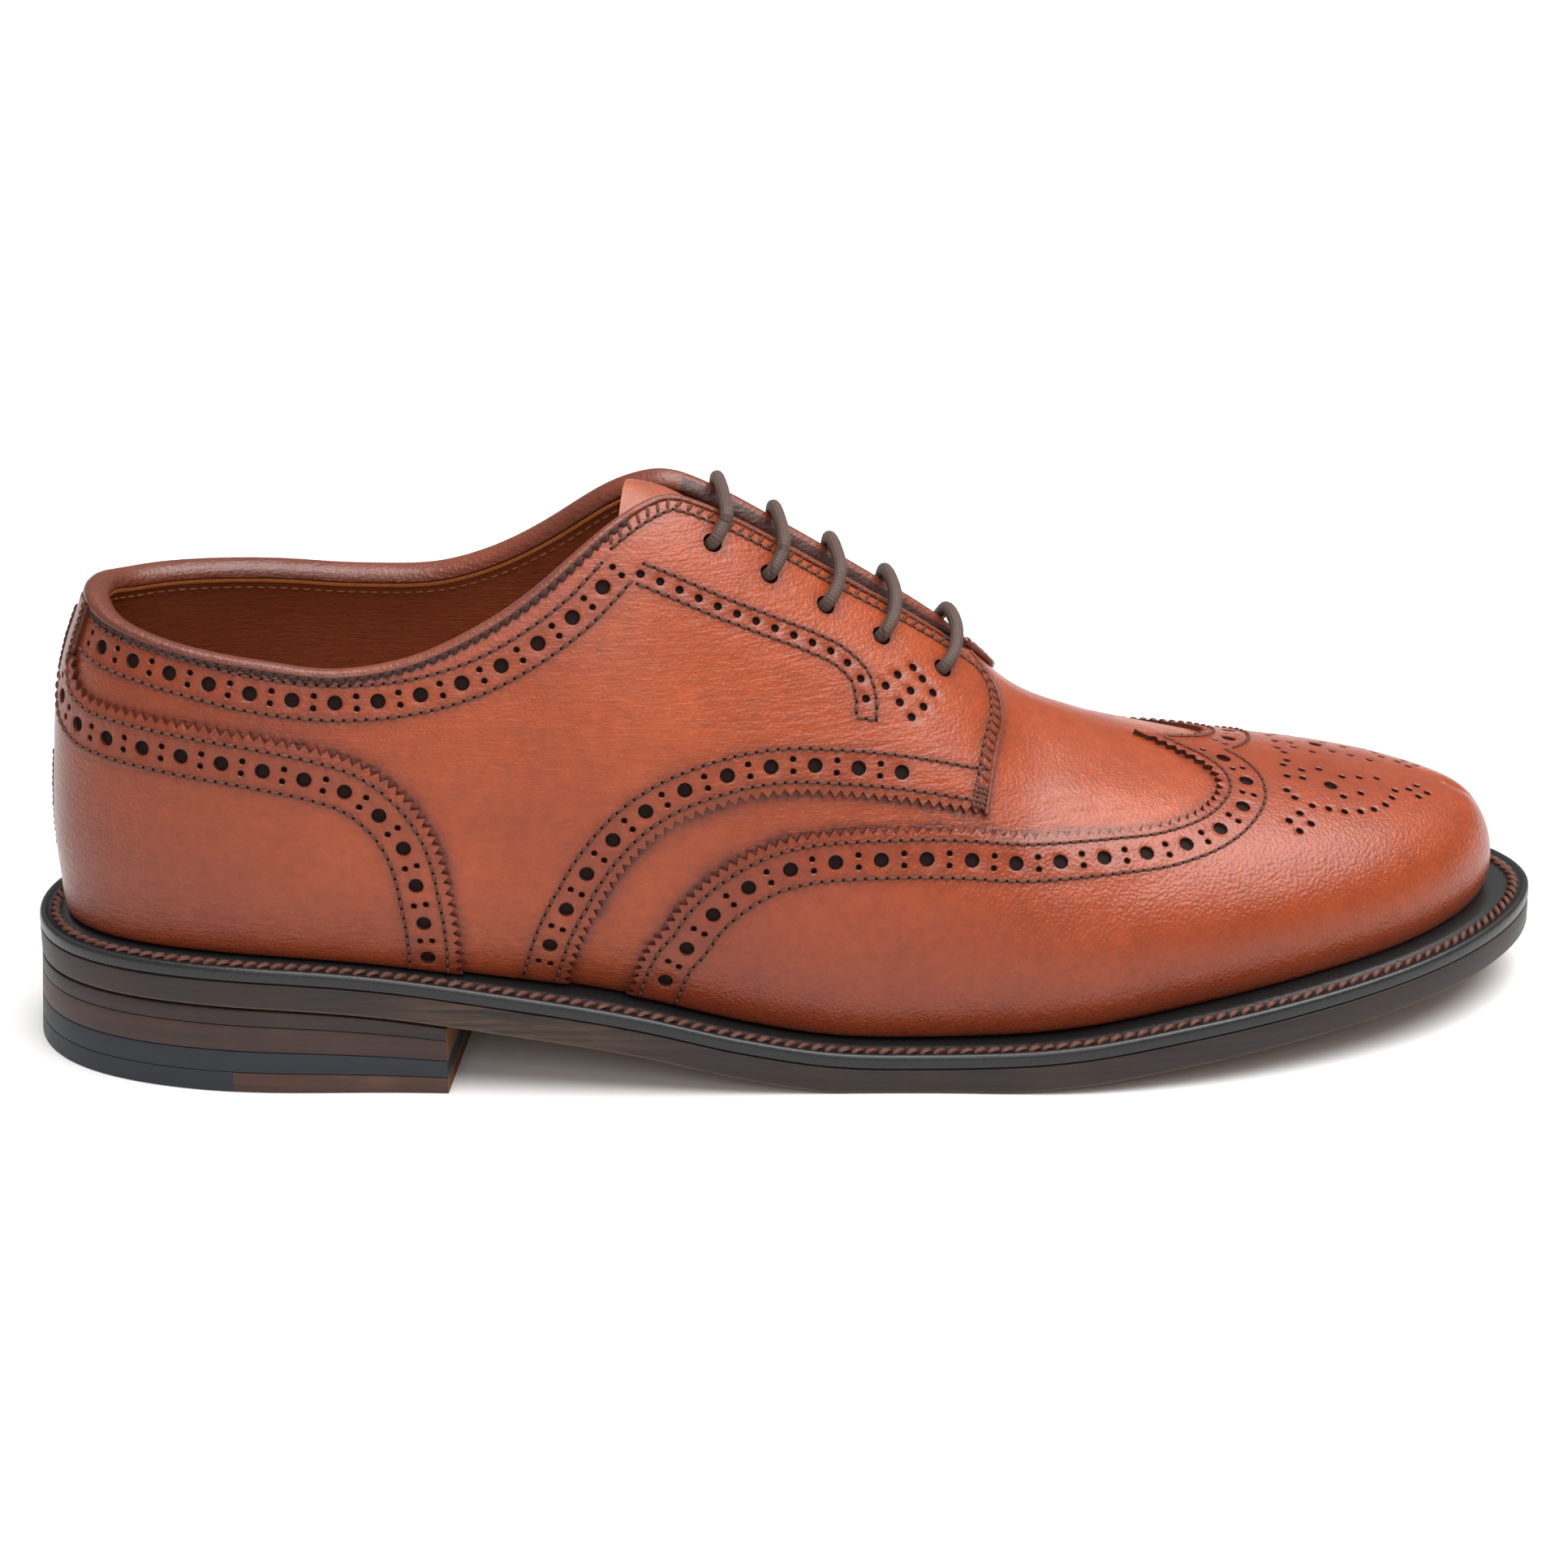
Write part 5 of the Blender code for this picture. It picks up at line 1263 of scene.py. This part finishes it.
# %% Lace
def lace_route():
    """Up through an eyelet, over the rolled edge, across, and down again; then below to the next pair."""
    under = LINING_FACE + CLEARANCE + LACE_RADIUS
    over = -(LACE_RADIUS + 0.35 * MM)
    route, side = [], -1
    for around, up in EYELETS:
        edge = opening_up(around)
        per_metre = 1 / chart_matrix(np.array([around]), np.array([up]))[0, 1, 1]

        def hole(sign, depth, shift=0.0):
            return layer_points(np.array(sign * around), np.array(up + shift * per_metre), np.array(depth))

        crossing = []
        for sign in (side, -side):
            swing = np.array([1.8 * MM, 0, 0]) * (1 if sign < 0 else 0.25)
            climb = [hole(sign, under), hole(sign, under * 0.5), hole(sign, -0.2 * MM),
                     hole(sign, over * 0.75, 0.9 * MM) + swing * 0.3,
                     hole(sign, over, 3.2 * MM) + swing * 0.85,
                     layer_points(np.array(sign * around), np.array(edge), np.array(over - 0.5 * MM)) + swing]
            crossing.append(climb if sign == side else climb[::-1])
        middle = (crossing[0][-1] + crossing[1][0]) / 2 + np.array([0, 0, 1.1 * MM])
        route += crossing[0] + [middle] + crossing[1]
        side = -side
    return np.array(route)


def smoothed(points, step):
    """A Catmull-Rom curve through the points, cut into even steps."""
    ends = np.r_[[2 * points[0] - points[1]], points, [2 * points[-1] - points[-2]]]
    t = np.linspace(0, 1, 12, endpoint=False)[None, :, None]
    a, b, c, d = (ends[k:len(ends) - 3 + k][:, None] for k in range(4))
    curve = 0.5 * (2 * b + (c - a) * t + (2 * a - 5 * b + 4 * c - d) * t**2 + (3 * b - a - 3 * c + d) * t**3)
    curve = np.r_[curve.reshape(-1, 3), points[-1:]]
    run = distances(curve)
    return read_at(np.linspace(0, run[-1], int(run[-1] / step)), run, curve)


path = smoothed(lace_route(), 0.45 * MM)
run = tangents(path)
sideways = np.cross(run, [0.9, 0.05, 0.43])
sideways /= np.linalg.norm(sideways, axis=1, keepdims=True)
upward = np.cross(sideways, run)
turns = np.arange(12) * 2 * math.pi / 12
circle = np.stack([np.cos(turns), np.sin(turns)], -1) * LACE_RADIUS
lace = carried("lace_cotton", path, (sideways, upward), circle, [LACE],
               attributes={"along": np.repeat(distances(path), 12), "turn": np.tile(turns, len(path))})
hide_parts("lace")

# %% [markdown]
# ## Welt, sole and heel
# The welt is a leather strip sewn round the upper, with a knurled rim and a row of stitches in its groove.
# The sole's edge is sanded, inked and waxed. The heel is a stack of leather layers above a rubber one.

# %% The outline of the sole as a loop
SOLE_POINTS = 260


def sole_loop():
    """The outer side from heel to toe and the inner side back, with normals that point outwards."""
    x, lateral, medial = sole_edge(np.linspace(0, math.pi, SOLE_POINTS))
    loop = np.r_[np.stack([x, lateral], -1), np.stack([x, medial], -1)[-2:0:-1]]
    run = tangents(loop, closed=True)
    return loop, np.stack([run[:, 1], -run[:, 0]], -1)


def plate(name, rings_of_points, looks, materials, caps, attributes=None):
    """Rings one below the other, joined by walls; the first and last are closed by strips across."""
    levels, count = len(rings_of_points), len(rings_of_points[0])
    points = np.concatenate(rings_of_points)
    faces, index = ring_walls(levels, count), np.repeat(materials, count).tolist()
    for low, look in ((0, caps[0]), ((levels - 1) * count, caps[1])):
        across = [[low + k, low + k + 1, low + count - k - 1, low + (count - k) % count]
                  for k in range(1, count // 2)]
        across = [[low, low + 1, low + count - 1]] + [list(dict.fromkeys(corners)) for corners in across]
        faces += across
        index += [look] * len(across)
    return add_piece(name, points, faces, looks, index, attributes=attributes)


loop, out = sole_loop()
up_z = np.array([[0, 0, 1.0]])
print("points on the sole's outline:", len(loop))

# %% Outsole
low_z, high_z = outsole_bottom(loop[:, 0]), outsole_top(loop[:, 0])
OUTSOLE_PROFILE = ((1.6, 1.0, 0.0), (0.45, 1.0, 0.0), (0.12, 1.0, -0.25), (0.0, 1.0, -0.8), (0.0, 0.5, 0.0),
                   (0.0, 0.0, 0.7), (0.1, 0.0, 0.3), (0.45, 0.0, 0.08), (1.6, 0.0, 0.0), (3.0, 0.0, 0.0))
sole_rings = [np.c_[loop - out * (inset * MM), low_z + (high_z - low_z) * share + shift * MM]
              for inset, share, shift in OUTSOLE_PROFILE]
rise_values = np.concatenate([np.full(len(loop), share + shift / 5) for _, share, shift in OUTSOLE_PROFILE])
worn = np.exp(-((loop[:, 0] - 0.098) / 0.022) ** 2)
outsole = plate("outsole_leather", sole_rings, [SOLE_EDGE, UNDERSIDE], [0] * 7 + [1, 1], (0, 1),
                attributes={"rise": np.clip(rise_values, 0, 1), "worn": np.tile(worn, len(OUTSOLE_PROFILE))})
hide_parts("outsole")

# %% Welt and its stitches
WELT_PROFILE = np.array([(-0.1, 0.05), (0.0, 0.4), (0.0, 1.6), (-0.1, 2.25), (-0.4, 2.62), (-0.8, 2.78),
                         (-1.2, 2.68), (-1.55, 2.35), (-1.85, 2.12), (-3.3, 1.95), (-4.7, 2.1), (-5.1, 2.38),
                         (-5.8, 2.52), (-7.5, 2.55), (-10.5, 2.55), (-13.0, 2.5), (-13.0, 0.05)]) * MM
path = np.c_[loop, welt_bottom(loop[:, 0])]
welt = carried("welt_strip", path, (np.c_[out, np.zeros(len(out))], np.repeat(up_z, len(loop), 0)),
               WELT_PROFILE, [WELT_BLACK], closed=True)
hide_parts("welt")
groove = np.c_[loop - out * 3.35 * MM, welt_bottom(loop[:, 0]) + 2.05 * MM]
groove = np.r_[groove, groove[:1]]
sew("welt", groove, np.repeat(up_z, len(groove), 0), 2.7 * MM, 3.1 * MM, 0.62 * MM, lean=0.62, wobble=0.08,
    lift=0.1 * MM)
joined("welt_stitches", threads["welt"], STITCH_FACES, WELT_THREAD)

# %% [markdown]
# The heel's layers follow the outsole's outline from a slanted cut at the breast round the back. Each is read
# between two shares of the heel's height, so that all of them taper together as the outsole rises.

# %% Heel layers
HEEL_BREAST = 0.0885
BREAST_SLOPE = math.tan(math.radians(7))
HEEL_FLARE = 0.0012
HEEL_POINTS = 90
HEEL_STACK = (("lift_under_sole", "heel_lift_upper", 0.00, 0.19, LIFT_DARK, "sole_edge"),
              ("lift_brown", "heel_lift_lower", 0.19, 0.50, LIFT_BROWN, "heel_leather"),
              ("rubber_layer", "heel_rubber_layer", 0.50, 0.76, RUBBER, "heel_rubber"))


def heel_ring(share, start, end, inset):
    """The part of the outline between two slanted cuts across it, at a share of the heel's height."""
    angles = np.linspace(0, math.pi, 900)
    x, lateral, medial = sole_edge(angles)
    found = []
    for side, values in ((1, lateral), (2, medial)):
        cuts = [np.interp(0, x - (middle + BREAST_SLOPE * values), angles) if middle is not None else 0.0
                for middle in (start, end)]
        edge = sole_edge(np.linspace(*cuts, HEEL_POINTS))
        found.append(np.stack([edge[0], edge[side]], -1))
    first, second = found
    line = np.r_[first, second[::-1]]
    middle = (first + second) / 2
    inner = np.r_[middle, middle[::-1]]
    away = line - inner
    away /= np.maximum(np.linalg.norm(away, axis=1, keepdims=True), 1e-6)
    if start is None:
        nose = np.clip(1 - line[:, :1] / 0.03, 0, 1) ** 2
        away = away * (1 - nose) + np.array([-1.0, 0.0]) * nose
        away /= np.linalg.norm(away, axis=1, keepdims=True)
    grow = HEEL_FLARE * share * np.clip(1 - line[:, 0] / (HEEL_BREAST * 1.25), 0.25, 1) - inset
    line = line + away * grow[:, None]
    return np.c_[line, (outsole_bottom(line[:, 0]) - CLEARANCE) * (1 - share)]


def slab(name, start, end, top, bottom, looks, round_top=1.0):
    """A layer with softly rounded edges: rings of the heel's outline. The breast's wall has its own look."""
    fine = 0.025
    steps = ((top, 0.4 * MM * round_top), (top + fine * 0.3, 0.1 * MM * round_top), (top + fine, 0.0),
             (bottom - fine, 0.0), (bottom - fine * 0.3, 0.1 * MM), (bottom, 0.4 * MM))
    points = np.concatenate([heel_ring(share, start, end, inset) for share, inset in steps])
    total = 2 * HEEL_POINTS
    faces = ring_walls(len(steps), total)
    k = np.arange(total // 2 - 1)
    for low in (0, (len(steps) - 1) * total):
        faces += np.stack([low + k, low + k + 1, low + total - 2 - k, low + total - 1 - k], -1).tolist()
    index = np.zeros(len(faces), int)
    index[total // 2 - 1:total * (len(steps) - 1):total] = 1
    return add_piece(name, points, faces, looks, index)


for name, node, top, bottom, look, material_slot in HEEL_STACK:
    layer = slab(name, None, HEEL_BREAST, top, bottom, [look, RUBBER if look is RUBBER else BREAST])
    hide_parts(node)
TOP_PIECE_JOINT = 0.0455
front = slab("top_piece_front", TOP_PIECE_JOINT, HEEL_BREAST, 0.76, 1.0, [TOP_PIECE, BREAST])
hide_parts("top_piece_leather")
rear = slab("top_piece_rear", None, TOP_PIECE_JOINT, 0.76, 1.0, [RUBBER, RUBBER], round_top=0.2)
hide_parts("top_piece_rubber")

# %% The insole keeps its solid and gets the lining's leather
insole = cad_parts["insole"]
insole.data.materials.clear()
insole.data.materials.append(LINING)

# %% [markdown]
# ## The picture
# A pale floor, a wide softbox above, a window in front and a white room keep the shadow under the sole soft.
# The camera stands where the photographer stood: a little above the shoe, on its outer side, far away and
# with a long lens.

# %% Floor, lights and camera
floor_mesh = bpy.data.meshes.new("floor")
floor_mesh.from_pydata([(-6, -3, 0), (6, -3, 0), (6, 12, 0), (-6, 12, 0)], [], [(0, 1, 2, 3)])
floor = bpy.data.objects.new("floor", floor_mesh)
bpy.context.scene.collection.objects.link(floor)
paper = Finish("pale_floor", Roughness=0.7, Specular_IOR_Level=0.2)
paper.show(Base_Color=paper.mix(paper.noise(3, 2), (0.62, 0.615, 0.61, 1), (0.64, 0.635, 0.63, 1)))
floor_mesh.materials.append(paper.made)


def light(name, kind, place, target, **measures):
    """A lamp that points from its place to its target."""
    data = bpy.data.lights.new(name, kind)
    for key, value in measures.items():
        setattr(data, key, value)
    lamp = bpy.data.objects.new(name, data)
    lamp.location = place
    lamp.rotation_euler = (Vector(target) - Vector(place)).to_track_quat("-Z", "Y").to_euler()
    bpy.context.scene.collection.objects.link(lamp)


light("wide_softbox", "SUN", (0.25, -0.12, 1.0), (0, 0, 0), energy=5.7, angle=math.radians(60))
light("front_window", "AREA", (-0.15, -1.35, 0.85), (0, 0, 0.04), shape="RECTANGLE", size=0.7, size_y=0.7,
      energy=6.0)
room = Finish("white_room", "worlds", "Background", "Generated", Strength=0.72)
room.show(Color=room.steps(room.place_along("Z"), ((0.05, 0.16), (0.80, 1.0))))
bpy.context.scene.world = room.made
bpy.context.scene.view_settings.view_transform = "Standard"

CAMERA_DISTANCE = 0.85
FOCAL_LENGTH, SENSOR_WIDTH = 96.3, 36
AZIMUTH, ELEVATION, ROLL = (math.radians(degrees) for degrees in (-1.4, 22.7, -0.4))
target = np.array([0.1518, 0, 0.0496]) + ORIGIN
back = np.array([math.sin(AZIMUTH) * math.cos(ELEVATION), -math.cos(AZIMUTH) * math.cos(ELEVATION),
                 math.sin(ELEVATION)])
right = np.array([math.cos(AZIMUTH), math.sin(AZIMUTH), 0])
above = np.cross(back, right)
turned = right * math.cos(ROLL) + above * math.sin(ROLL), above * math.cos(ROLL) - right * math.sin(ROLL)
lens = bpy.data.cameras.new("photographer")
lens.lens, lens.sensor_width = FOCAL_LENGTH, SENSOR_WIDTH
camera = bpy.data.objects.new("photographer", lens)
axes = np.stack([*turned, back], -1)
stand = target + back * CAMERA_DISTANCE
camera.matrix_world = Matrix.Translation(Vector(stand)) @ Matrix(axes.tolist()).to_4x4()
bpy.context.scene.collection.objects.link(camera)
bpy.context.scene.camera = camera
print("the camera stands at", stand.round(3))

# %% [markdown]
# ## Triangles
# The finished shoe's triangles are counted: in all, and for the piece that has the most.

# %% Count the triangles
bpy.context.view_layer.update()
triangles = {piece.name: sum(len(face.vertices) - 2 for face in piece.data.polygons) for piece in PIECES}
most = max(triangles, key=triangles.get)
print("triangles:", sum(triangles.values()), "in all, most in", most, triangles[most])
